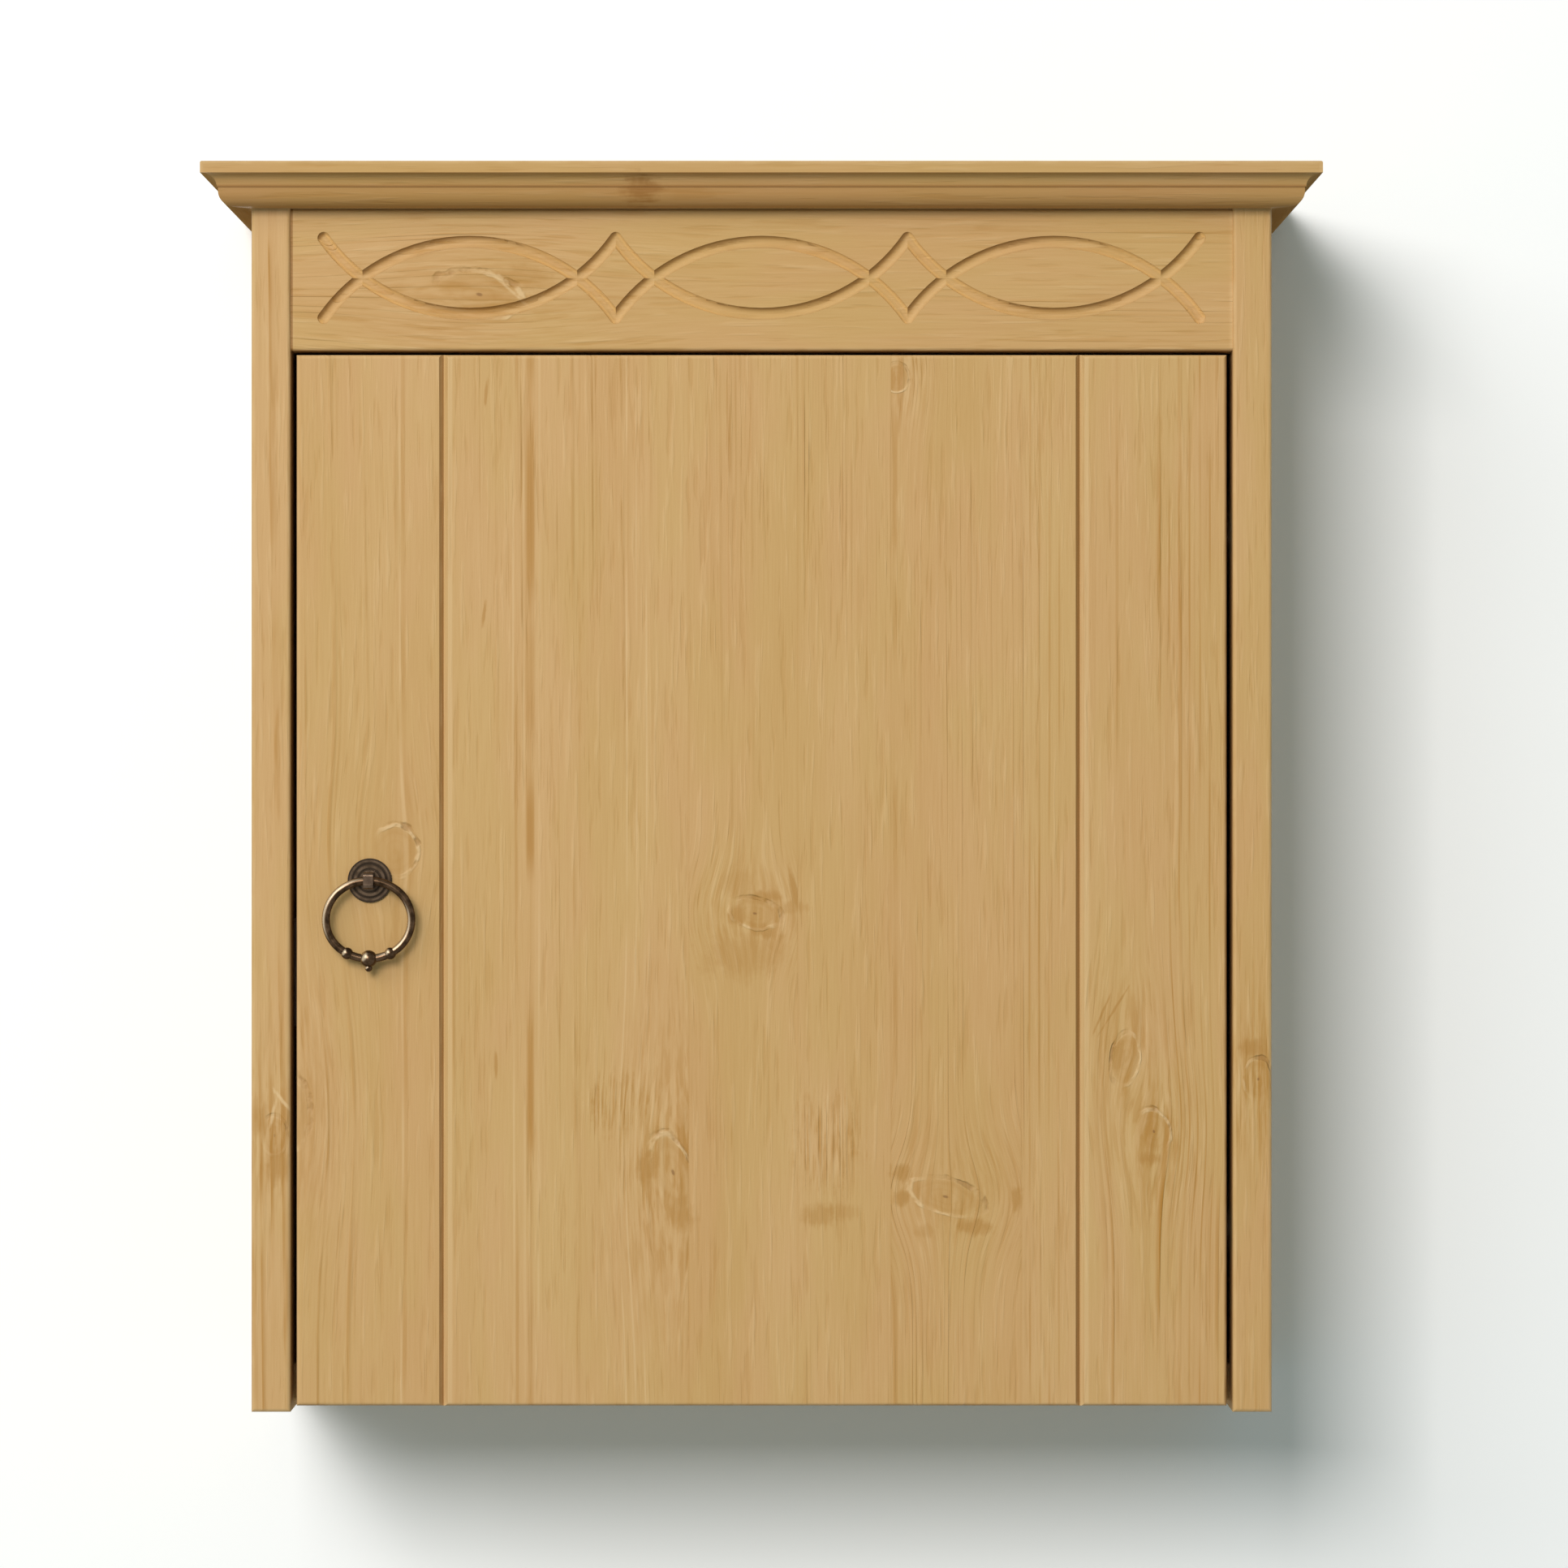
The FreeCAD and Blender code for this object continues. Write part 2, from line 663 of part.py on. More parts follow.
def frieze_rail():
    """The rail over the door, with three pairs of interlaced arcs cut by a round-nosed bit."""
    body = cross_board("frieze_rail", inner_half, "frieze_thick", "frieze_height", "edge_round")
    dowel_ends(body, frieze_dowels, door_front, frieze_foot)
    bit_middle = "(groove_depth - groove_bit)"
    for step in (-1, 0, 1):
        for sign in (1, -1):
            crest = f"(arc_line + {sign} * arc_crest)"
            sketch = sketch_on(body, "x", f"{step} * {arc_pitch}")
            outline(sketch, [(bit_middle, f"{crest} + groove_bit"),
                             ("groove_depth", crest, "groove_bit", -1),
                             (bit_middle, f"{crest} - groove_bit", "groove_bit", -1)])
            turning_line(sketch, f"arc_line + {sign} * (arc_crest - {arc_radius})", "frieze_thick")
            groove = body.newObject("PartDesign::Groove", "frieze_arc")
            groove.Profile = sketch
            groove.ReferenceAxis = (sketch, ["Axis0"])
            groove.Midplane = True
            groove.setExpression("Angle", terms(f"2 * asin({arc_pitch} / 2 / {arc_radius})"))
            doc.recompute()
    for step in (-1.5, -0.5, 0.5, 1.5):
        for sign in (1, -1):
            tip = body.newObject("PartDesign::SubtractiveSphere", "frieze_arc_end")
            tip.setExpression("Radius", terms("groove_bit"))
            tip.Placement.Rotation = FreeCAD.Rotation(FreeCAD.Vector(0, 0, 1), FreeCAD.Vector(*rear))
            tip.setExpression("Placement.Base.x", terms(f"{step} * {arc_pitch}"))
            tip.setExpression("Placement.Base.y", terms(bit_middle))
            tip.setExpression("Placement.Base.z", terms(f"arc_line - {sign} * arc_foot"))
            doc.recompute()
    place(body, back=door_front, up=frieze_foot)
    nodes.append(body)


# Crown moulding

def crown_section(sign):
    """Fascia, cove, ledge and rounded bead, from the flat underside outwards."""
    cove_height = "(crown_height - fascia_height - bead_height)"
    cove_width = "(cove_top - cove_foot)"
    cove_radius = f"(({cove_width} ^ 2 + {cove_height} ^ 2) / (2 * {cove_width}))"
    return [
        ("0", "0"),
        (f"{sign} * (bead_projection - bead_round)", "0"),
        (f"{sign} * bead_projection", "bead_round", "bead_round", sign),
        (f"{sign} * bead_projection", "bead_height"),
        (f"{sign} * cove_foot", "bead_height"),
        (f"{sign} * cove_top", "crown_height - fascia_height", cove_radius, -sign),
        (f"{sign} * crown_projection", "crown_height - fascia_height"),
        (f"{sign} * crown_projection", "crown_height - fascia_round"),
        (f"{sign} * (crown_projection - fascia_round)", "crown_height", "fascia_round", sign),
        ("0", "crown_height"),
    ]


def cornice_front():
    body = new_body("cornice_front")
    half = "(carcass_width / 2)"
    pad_outline(body, "x", crown_section(-1), f"2 * ({half} + crown_projection)",
                at=f"-({half} + crown_projection)")
    for sign in (1, -1):
        mitre = [(f"{sign} * {half}", "0"), (f"{sign} * ({half} + crown_projection)", "0"),
                 (f"{sign} * ({half} + crown_projection)", "-crown_projection")]
        cut_outline(body, "z", mitre, "crown_height")
    place(body, back="-carcass_depth", up="side_height")
    nodes.append(body)


def cornice_return(label, sign):
    body = new_body(label)
    tip = "(-carcass_depth - crown_projection)"
    pad_outline(body, "y", crown_section(sign), "carcass_depth + crown_projection", at=tip)
    mitre = [("0", "-carcass_depth"), (f"{sign} * crown_projection", tip), ("0", tip)]
    cut_outline(body, "z", mitre, "crown_height")
    place(body, f"{sign} * carcass_width / 2", up="side_height")
    nodes.append(body)


# Door

def round_over(body, across_edge):
    """Eases the front edge of a door board at its head and its foot, right across the board."""
    low, high = across_edge
    for edge, sign in ((door_height, -1), ("0", 1)):
        inset = f"{edge} + {sign} * edge_round"
        corner = [("0", edge), ("edge_round", edge), ("0", inset, "edge_round", -sign)]
        cut_outline(body, "x", corner, f"{high} - ({low})", at=low)


def batten_holes(body, spots, start):
    centres = [(f"{across} - {start}", f"{height} + batten_height / 2 - door_lift")
               for height in battens.values() for across in spots]
    bore(body, "y", centres, "screw_radius + hole_clear", "long_screw - batten_thick + hole_extra",
         at="door_thick", toward=-1)


def stile(label, sign):
    """An outer door board: eased outer edge, half a V and a groove on the inner edge."""
    body = new_body(label)
    groove_low = "(door_thick / 2 - tongue_thick / 2 - joint_clear)"
    groove_high = "(door_thick / 2 + tongue_thick / 2 + joint_clear)"
    pad_outline(body, "z", [
        (f"{sign} * edge_round", "0", "edge_round", sign),
        (f"{sign} * (stile_width - vee_depth)", "0"),
        (f"{sign} * stile_width", "vee_depth"),
        (f"{sign} * stile_width", groove_low),
        (f"{sign} * (stile_width - tongue_depth - joint_clear)", groove_low),
        (f"{sign} * (stile_width - tongue_depth - joint_clear)", groove_high),
        (f"{sign} * stile_width", groove_high),
        (f"{sign} * stile_width", "door_thick"),
        (f"{sign} * edge_round", "door_thick"),
        ("0", "door_thick - edge_round", "edge_round", sign),
        ("0", "edge_round"),
    ], door_height)
    round_over(body, ("0", "stile_width") if sign > 0 else ("-stile_width", "0"))
    return body


def door_left_board():
    """Carries the ring pull and the strike plate."""
    body = stile("door_left_board", 1)
    pull = [("stile_width / 2", f"{door_height} / 2")]
    bore(body, "y", pull, "spigot_radius + hole_clear", "spigot_length + hole_extra")
    bore(body, "y", pull, "bolt_radius + bolt_clear", "door_thick")
    strike = [("magnet_in - door_gap", f"catch_height - door_lift + {sign} * strike_screw")
              for sign in (1, -1)]
    bore(body, "y", strike, "screw_radius + hole_clear", "short_screw - strike_thick + hole_extra",
         at="door_thick", toward=-1)
    batten_holes(body, left_board_screws, "0")
    place(body, f"-{door_right}", door_front, "door_lift")
    nodes.append(body)


def door_centre_panel():
    body = new_body("door_centre_panel")
    width = f"({door_width} - 2 * stile_width)"
    tongue_low = "(door_thick / 2 - tongue_thick / 2)"
    tongue_high = "(door_thick / 2 + tongue_thick / 2)"
    pad_outline(body, "z", [
        ("vee_depth", "0"),
        (f"{width} - vee_depth", "0"),
        (width, "vee_depth"),
        (width, tongue_low),
        (f"{width} + tongue_depth", tongue_low),
        (f"{width} + tongue_depth", tongue_high),
        (width, tongue_high),
        (width, "door_thick"),
        ("0", "door_thick"),
        ("0", tongue_high),
        ("-tongue_depth", tongue_high),
        ("-tongue_depth", tongue_low),
        ("0", tongue_low),
        ("0", "vee_depth"),
    ], door_height)
    round_over(body, ("0", width))
    batten_holes(body, panel_screws, "stile_width")
    place(body, f"stile_width - {door_right}", door_front, "door_lift")
    nodes.append(body)


def door_right_board():
    """Mortised from the back for the two hinge cups and their knuckles."""
    body = stile("door_right_board", -1)
    batten_holes(body, right_board_screws, door_width)
    middle = "-(cup_edge + cup_radius)"
    for height in hinges.values():
        level = f"({height} - door_lift)"
        bore(body, "y", [(middle, level)], "cup_radius + cup_clear", "cup_depth + cup_clear",
             at="door_thick", toward=-1)
        mortise = rectangle("-(pin_in + cheek_reach + cup_clear)", f"{level} - {cheek_half} - cup_clear",
                            "edge_round", f"{level} + {cheek_half} + cup_clear")
        cut_outline(body, "y", mortise, f"{door_back_at_pin} + {slot_reach} + cup_clear",
                    at="door_thick", toward=-1)
        pilots = [(middle, f"{level} + {sign} * wing_screw") for sign in (1, -1)]
        bore(body, "y", pilots, "screw_radius + hole_clear", "short_screw - flange_thick + hole_extra",
             at="door_thick", toward=-1)
    place(body, door_right, door_front, "door_lift")
    nodes.append(body)


def batten(label, height):
    """A rail screwed across the back of the door boards, with bevelled long edges."""
    body = new_body(label)
    length = f"({door_width} - 2 * batten_inset)"
    pad_outline(body, "x", [
        ("0", "0"),
        ("batten_thick - batten_bevel", "0"),
        ("batten_thick", "batten_bevel"),
        ("batten_thick", "batten_height - batten_bevel"),
        ("batten_thick - batten_bevel", "batten_height"),
        ("0", "batten_height"),
    ], length)
    holes = [(f"{across} - batten_inset", "batten_height / 2") for across in batten_screws]
    bore(body, "y", holes, "screw_radius + hole_clear", "batten_thick")
    place(body, f"batten_inset - {door_right}", door_back, height)
    nodes.append(body)


# Hinges, each with its own origin on the pin

def hinge_cup(label, height):
    """The flanged cup let into the door, with two cheeks that hold the pin beside the door's edge."""
    body = new_body(label)
    pad_disc(body, "y", cup_across, "0", "cup_radius + flange_margin", "flange_thick", at=door_back_at_pin)
    wings = rectangle(f"{cup_across} - wing_half_width", "-wing_half_height",
                      f"{cup_across} + wing_half_width", "wing_half_height")
    pad_outline(body, "y", wings, "flange_thick", at=door_back_at_pin)
    ease(body, lambda point, way: abs(way.y) > 0.9 and near(abs(point.z), "wing_half_height"), "wing_round")
    pad_disc(body, "y", cup_across, "0", "cup_radius", "cup_depth", at=door_back_at_pin, toward=-1)
    bore(body, "y", [(cup_across, "0")], "cup_radius - cup_wall", "flange_thick + cup_depth - cup_wall",
         at=f"{door_back_at_pin} + flange_thick", toward=-1)
    cheeks = rectangle("-cheek_reach", f"-{slot_reach}", "pin_in - cheek_edge", door_back_at_pin)
    pad_outline(body, "z", cheeks, f"2 * {cheek_half}", at=f"-{cheek_half}")
    slot = rectangle(f"-{slot_reach}", f"-{slot_reach} - cup_clear", "pin_in + cup_edge",
                     f"{door_back_at_pin} + flange_thick + cup_clear")
    cut_outline(body, "z", slot, f"2 * {slot_half}", at=f"-{slot_half}")
    bore(body, "z", [("0", "0")], "pin_radius + pin_seat_clear", f"2 * {cheek_half}", at=f"-{cheek_half}")
    bore(body, "y", [(cup_across, f"{sign} * wing_screw") for sign in (1, -1)], "screw_radius + hole_clear",
         "flange_thick", at=door_back_at_pin)
    place(body, pin_across, pin_deep, height)
    nodes.append(body)


def hinge_arm(label, height):
    """A straight arm: a knuckle round the pin, a flat tongue, and a channel that fits over the plate."""
    body = new_body(label)
    half_thick = "(arm_thick / 2)"
    channel_half = "(knuckle_half + channel_wall)"
    pad_disc(body, "z", "0", "0", "knuckle_radius", "2 * knuckle_half", at="-knuckle_half")
    tongue = rectangle(f"-{half_thick}", "0", half_thick, "arm_length")
    pad_outline(body, "z", tongue, "2 * knuckle_half", at="-knuckle_half")
    pad_outline(body, "y", [
        (f"-{half_thick}", f"-{channel_half}"),
        ("channel_depth", f"-{channel_half}"),
        ("channel_depth", "-knuckle_half"),
        (half_thick, "-knuckle_half"),
        (half_thick, "knuckle_half"),
        ("channel_depth", "knuckle_half"),
        ("channel_depth", channel_half),
        (f"-{half_thick}", channel_half),
    ], "arm_length - channel_start", at="channel_start")
    bore(body, "z", [("0", "0")], "pin_radius + pin_clear", "2 * knuckle_half", at="-knuckle_half")
    bore(body, "x", [(back, "0") for back in clamp_backs], "clamp_radius + hole_clear", "arm_thick",
         at=f"-{half_thick}")
    place(body, pin_across, pin_deep, height)
    nodes.append(body)


def hinge_plate(label, height):
    """The plate screwed to the side, with a spine inside the arm's channel."""
    body = new_body(label)
    middle = "(plate_start + plate_length / 2)"
    wings = rectangle(f"{middle} - plate_wing / 2", "-plate_wing_half", f"{middle} + plate_wing / 2",
                      "plate_wing_half")
    pad_outline(body, "x", wings, "plate_thick", at=side_face_at_pin, toward=-1)
    ease(body, lambda point, way: abs(way.x) > 0.9, "plate_round")
    spine = rectangle("plate_start", "spine_clear - knuckle_half", "plate_start + plate_length",
                      "knuckle_half - spine_clear")
    pad_outline(body, "x", spine, f"{side_face_at_pin} - arm_thick / 2", at=side_face_at_pin, toward=-1)
    bore(body, "x", [(middle, f"{sign} * plate_screw") for sign in (1, -1)], "screw_radius + hole_clear",
         "plate_thick", at=side_face_at_pin, toward=-1)
    bore(body, "x", [(back, "0") for back in clamp_backs], "clamp_radius + hole_clear",
         "clamp_length - arm_thick + hole_extra", at="arm_thick / 2")
    place(body, pin_across, pin_deep, height)
    nodes.append(body)


def hinge_pin(label, height):
    pin = doc.addObject("Part::Cylinder", label)
    pin.Label = label
    pin.setExpression("Radius", terms("pin_radius"))
    pin.setExpression("Height", terms(f"2 * {cheek_half}"))
    place(pin, pin_across, pin_deep, f"{height} - {cheek_half}")
    nodes.append(pin)


# Magnetic catch

def catch_housing():
    """A block with two screw ears, open at the front for the magnet."""
    body = new_body("catch_housing")
    pad_outline(body, "x", rectangle("0", "-ear_half", "catch_long", "ear_half"), "ear_thick")
    pad_outline(body, "x", rectangle("0", "-catch_half", "catch_long", "catch_half"), "catch_deep")
    ease(body, lambda point, way: near(point.x, "catch_deep"), "catch_round")
    holes = [("catch_long / 2", f"{sign} * ear_screw") for sign in (1, -1)]
    bore(body, "x", holes, "screw_radius + hole_clear", "ear_thick")
    seat = rectangle("magnet_in - magnet_thick / 2 - hole_clear", "-magnet_half - hole_clear",
                     "magnet_in + magnet_thick / 2 + hole_clear", "magnet_half + hole_clear")
    cut_outline(body, "y", seat, "magnet_seat")
    place(body, f"-{inner_half}", catch_front, "catch_height")
    nodes.append(body)


def catch_magnet():
    body = new_body("catch_magnet")
    block = rectangle("magnet_in - magnet_thick / 2", "-magnet_half",
                      "magnet_in + magnet_thick / 2", "magnet_half")
    pad_outline(body, "y", block, "magnet_proud + magnet_seat", at="-magnet_proud")
    place(body, f"-{inner_half}", catch_front, "catch_height")
    nodes.append(body)


def strike_plate():
    body = new_body("strike_plate")
    pad_outline(body, "y", rectangle("-strike_width / 2", "-strike_half", "strike_width / 2", "strike_half"),
                "strike_thick")
    ease(body, lambda point, way: abs(way.y) > 0.9, "catch_round")
    bore(body, "y", [("0", f"{sign} * strike_screw") for sign in (1, -1)], "screw_radius + hole_clear",
         "strike_thick")
    place(body, f"magnet_in - {inner_half}", door_back, "catch_height")
    nodes.append(body)


# Ring pull, with its own origin on the face of the door

def handle_rosette():
    """A round plate turned with a rim, a step and a boss, divided by fine grooves."""
    body = new_body("handle_rosette")
    hole = "(spigot_radius + hole_clear)"
    revolve(body, [
        (hole, "0"),
        (hole, "-rosette_boss"),
        ("rosette_boss_radius", "-rosette_boss"),
        ("rosette_boss_radius", "rosette_groove - rosette_step"),
        ("rosette_boss_radius + rosette_groove", "rosette_groove - rosette_step"),
        ("rosette_boss_radius + rosette_groove", "-rosette_step"),
        ("rosette_step_radius", "-rosette_step"),
        ("rosette_step_radius", "rosette_groove - rosette_rim"),
        ("rosette_step_radius + rosette_groove", "rosette_groove - rosette_rim"),
        ("rosette_step_radius + rosette_groove", "-rosette_rim"),
        ("rosette_radius", "-rosette_rim"),
        ("rosette_radius", "0"),
    ], axis="z")
    place(body, handle_across, door_front, door_middle)
    nodes.append(body)


def handle_eye():
    """The eye that the ring hangs in, with a tapped spigot through the rosette into the door."""
    body = new_body("handle_eye")
    hole = "(ring_wire + eye_clear)"
    outer = f"({hole} + eye_wall)"
    pad_outline(body, "x", [
        ("-rosette_boss", f"-{outer}"),
        ("-rosette_boss", outer),
        (f"eye_round - ring_standoff - {outer}", outer),
        (f"-ring_standoff - {outer}", f"{outer} - eye_round", "eye_round", 1),
        (f"-ring_standoff - {outer}", f"eye_round - {outer}"),
        (f"eye_round - ring_standoff - {outer}", f"-{outer}", "eye_round", 1),
    ], "eye_width", at="-eye_width / 2")
    bore(body, "x", [("-ring_standoff", "0")], hole, "eye_width", at="-eye_width / 2")
    pad_disc(body, "y", "0", "0", "spigot_radius", "rosette_boss + spigot_length", at="-rosette_boss")
    bore(body, "y", [("0", "0")], "bolt_radius + hole_clear", "rosette_boss + spigot_length - eye_wall",
         at="spigot_length", toward=-1)
    place(body, handle_across, door_front, door_middle)
    nodes.append(body)


def ring_arc(across, up, radius, start, span):
    """One bent length of the ring's wire, standing in the plane of the door."""
    arc = doc.addObject("Part::Torus", "ring_arc")
    arc.setExpression("Radius1", terms(radius))
    arc.setExpression("Radius2", terms("ring_wire"))
    arc.setExpression("Angle3", terms(span))
    upright = FreeCAD.Rotation(FreeCAD.Vector(1, 0, 0), 90)
    arc.Placement.Rotation = upright * FreeCAD.Rotation(FreeCAD.Vector(0, 0, 1), size(start))
    place(arc, f"{handle_across} + {across}", ring_back, f"{ring_middle} + {up}")
    return arc


def ring_ball(across, up, radius, facing=None):
    """One of the balls at the foot of the ring, its poles on the wire that runs through it."""
    ball = doc.addObject("Part::Sphere", "ring_ball")
    ball.setExpression("Radius", terms(radius))
    place(ball, f"{handle_across} + {across}", ring_back, f"{ring_middle} + {up}", facing)
    return ball


def handle_ring():
    """A slightly oval wire ring of four arcs, with a ball, its drop and two beads at the bottom."""
    end_span = f"2 * {ring_turn}"
    flat_span = f"180 deg - 2 * {ring_turn}"
    bead_up = f"({ring_flat_up} - sqrt({ring_flat_radius} ^ 2 - bead_spread ^ 2))"
    ring = doc.addObject("Part::MultiFuse", "handle_ring")
    ring.Label = "handle_ring"
    ring.Shapes = [
        ring_arc(ring_end_across, "0", "ring_end_radius", f"-{ring_turn}", end_span),
        ring_arc("0", f"-{ring_flat_up}", ring_flat_radius, ring_turn, flat_span),
        ring_arc(f"-{ring_end_across}", "0", "ring_end_radius", f"180 deg - {ring_turn}", end_span),
        ring_arc("0", ring_flat_up, ring_flat_radius, f"180 deg + {ring_turn}", flat_span),
        ring_ball("0", "-ring_half_height", "ball_radius", left),
        ring_ball("0", "-ring_half_height - tip_drop", "tip_radius"),
        ring_ball("bead_spread", bead_up, "bead_ball", left),
        ring_ball("-bead_spread", bead_up, "bead_ball", left),
    ]
    nodes.append(ring)


def handle_fixings():
    """The bolt that draws the eye tight from inside the door, and its washer."""
    washer = new_body("handle_washer")
    pad_disc(washer, "y", "0", "0", "washer_radius", "washer_thick")
    bore(washer, "y", [("0", "0")], "bolt_radius + bolt_clear", "washer_thick")
    place(washer, handle_across, door_back, door_middle)
    nodes.append(washer)
    length = "(door_thick + washer_thick - spigot_length + bolt_bite)"
    bolt = slotted_screw("handle_bolt_pattern", "bolt_radius", length, "bolt_head")
    copies("handle_bolt", bolt, [(handle_across, f"{door_back} + washer_thick", door_middle, rear)])


side("left_side", -1)
side("right_side", 1)
bottom_panel()
shelf()
hanging_rail()
back_panel()
top_board()
frieze_rail()
cornice_front()
cornice_return("cornice_left_return", -1)
cornice_return("cornice_right_return", 1)
door_left_board()
door_centre_panel()
door_right_board()
for name, height in battens.items():
    batten(f"door_{name}_batten", height)
for name, height in hinges.items():
    hinge_cup(f"{name}_hinge_cup", height)
    hinge_arm(f"{name}_hinge_arm", height)
    hinge_plate(f"{name}_hinge_plate", height)
    hinge_pin(f"{name}_hinge_pin", height)
catch_housing()
catch_magnet()
strike_plate()
handle_rosette()
handle_eye()
handle_ring()
handle_fixings()
make_fixings()
doc.recompute()

for item in doc.Objects:
    if "Invalid" in item.State or "Error" in item.State:
        raise ValueError(f"{item.Name} did not build: {item.State}")
for node in nodes:
    if node.Shape.isNull() or not node.Shape.isValid():
        raise ValueError(f"{node.Label} has no valid shape")

os.makedirs("parts", exist_ok=True)
for node in nodes:
    node.Shape.exportStep(f"parts/{node.Label}.step")
    print(f"{node.Label}: {len(node.Shape.Solids)} solids, {node.Shape.Volume / 1000:.2f} cm3")
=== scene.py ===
import bpy
import math
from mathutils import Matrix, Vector
from types import SimpleNamespace


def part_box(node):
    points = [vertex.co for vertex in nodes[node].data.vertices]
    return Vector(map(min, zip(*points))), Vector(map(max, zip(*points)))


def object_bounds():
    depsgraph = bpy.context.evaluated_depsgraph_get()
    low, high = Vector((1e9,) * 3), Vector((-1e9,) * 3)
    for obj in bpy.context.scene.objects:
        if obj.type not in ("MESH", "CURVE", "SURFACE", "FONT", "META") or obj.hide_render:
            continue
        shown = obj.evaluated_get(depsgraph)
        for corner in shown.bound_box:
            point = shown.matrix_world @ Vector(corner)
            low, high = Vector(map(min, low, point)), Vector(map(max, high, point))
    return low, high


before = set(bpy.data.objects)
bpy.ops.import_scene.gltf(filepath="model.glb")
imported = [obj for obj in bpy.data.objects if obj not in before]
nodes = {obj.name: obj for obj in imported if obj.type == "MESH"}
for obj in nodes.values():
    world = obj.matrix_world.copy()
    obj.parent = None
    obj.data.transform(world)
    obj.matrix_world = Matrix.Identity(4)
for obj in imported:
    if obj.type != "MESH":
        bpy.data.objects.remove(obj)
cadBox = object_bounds()
print("frame loaded:", len(nodes), "nodes")


# camera, square to the door, a little right of its middle

viewPoint = {
    "across": 0.0115,
    "up": -0.2655,
    "distance": 3.0,        # from the front edges of the sides
    "frameWidth": 0.805,    # what the picture takes in at those edges
    "sensor": 36.0,
    "farthest": 50,
}


def placeCamera():
    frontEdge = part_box("left_side")[0].y
    spot = (viewPoint["across"], frontEdge - viewPoint["distance"], viewPoint["up"])
    bpy.ops.object.camera_add(location=spot, rotation=(math.pi / 2, 0, 0))
    camera = bpy.context.object
    camera.name = "frontCamera"
    camera.data.sensor_width = viewPoint["sensor"]
    camera.data.lens = viewPoint["sensor"] * viewPoint["distance"] / viewPoint["frameWidth"]
    camera.data.clip_end = viewPoint["farthest"]
    bpy.context.scene.camera = camera


placeCamera()
print("camera placed")


# short helpers for node trees; a value is a number or a socket

def feed(tree, value, socket):
    if isinstance(value, bpy.types.NodeSocket):
        tree.links.new(value, socket)
    else:
        socket.default_value = value


def addNode(tree, kind, inputs=None, **settings):
    node = tree.nodes.new(kind)
    for name, value in settings.items():
        setattr(node, name, value)
    for socket, value in (inputs or {}).items():
        feed(tree, value, node.inputs[socket])
    return node


def calc(tree, operation, *values):
    node = addNode(tree, "ShaderNodeMath", operation=operation)
    for value, socket in zip(values, node.inputs):
        feed(tree, value, socket)
    return node.outputs[0]


def times(tree, first, *others):
    for other in others:
        first = calc(tree, "MULTIPLY", first, other)
    return first


def plus(tree, first, *others):
    for other in others:
        first = calc(tree, "ADD", first, other)
    return first


def minus(tree, first, second):
    return calc(tree, "SUBTRACT", first, second)


def gain(tree, value, factor, start):
    return calc(tree, "MULTIPLY_ADD", value, factor, start)


def most(tree, first, second):
    return calc(tree, "MAXIMUM", first, second)


def least(tree, first, second):
    return calc(tree, "MINIMUM", first, second)


def vector(tree, operation, *values):
    node = addNode(tree, "ShaderNodeVectorMath", operation=operation)
    for value, socket in zip(values, node.inputs):
        feed(tree, value, socket)
    return node.outputs["Value" if operation in ("LENGTH", "DOT_PRODUCT") else "Vector"]


def split(tree, spot):
    return addNode(tree, "ShaderNodeSeparateXYZ", {"Vector": spot}).outputs


def point(tree, x, y, z):
    return addNode(tree, "ShaderNodeCombineXYZ", {"X": x, "Y": y, "Z": z}).outputs[0]


def rampUp(tree, value, low, high, toLow=0.0, toHigh=1.0):
    inputs = {"Value": value, "From Min": low, "From Max": high, "To Min": toLow, "To Max": toHigh}
    return addNode(tree, "ShaderNodeMapRange", inputs, interpolation_type="SMOOTHSTEP").outputs[0]


def band(tree, value, low, high, soft):
    rise = rampUp(tree, value, low - soft, low)
    return times(tree, rise, rampUp(tree, value, high, high + soft, 1, 0))


def cloud(tree, spot, scale=1.0, detail=2.0, roughness=0.5, dimensions="3D"):
    inputs = {"Scale": scale, "Detail": detail, "Roughness": roughness}
    inputs["W" if dimensions == "1D" else "Vector"] = spot
    return addNode(tree, "ShaderNodeTexNoise", inputs, noise_dimensions=dimensions).outputs["Fac"]


def unevenBy(tree, value, noise, depth):
    return plus(tree, value, gain(tree, noise, depth, -depth / 2))


def drawLots(tree, number):
    return addNode(tree, "ShaderNodeTexWhiteNoise", {"W": number}, noise_dimensions="1D").outputs


def blendColor(tree, factor, first, second, mode="MIX"):
    node = addNode(tree, "ShaderNodeMix", data_type="RGBA", blend_type=mode)
    feed(tree, factor, node.inputs[0])
    feed(tree, first, node.inputs[6])
    feed(tree, second, node.inputs[7])
    return node.outputs[2]


def startFinish(name):
    material = bpy.data.materials.new(name)
    material.use_nodes = True
    tree = material.node_tree
    return material, tree, tree.nodes["Principled BSDF"]


def addRelief(tree, shader, height, depth):
    relief = addNode(tree, "ShaderNodeBump", {"Height": height, "Distance": depth, "Strength": 1.0})
    tree.links.new(relief.outputs[0], shader.inputs["Normal"])


def dress(names, material):
    for name in names:
        mesh = nodes[name].data
        mesh.materials.clear()
        mesh.materials.append(material)


# pine: growth rings about a pith, cut by the board's faces

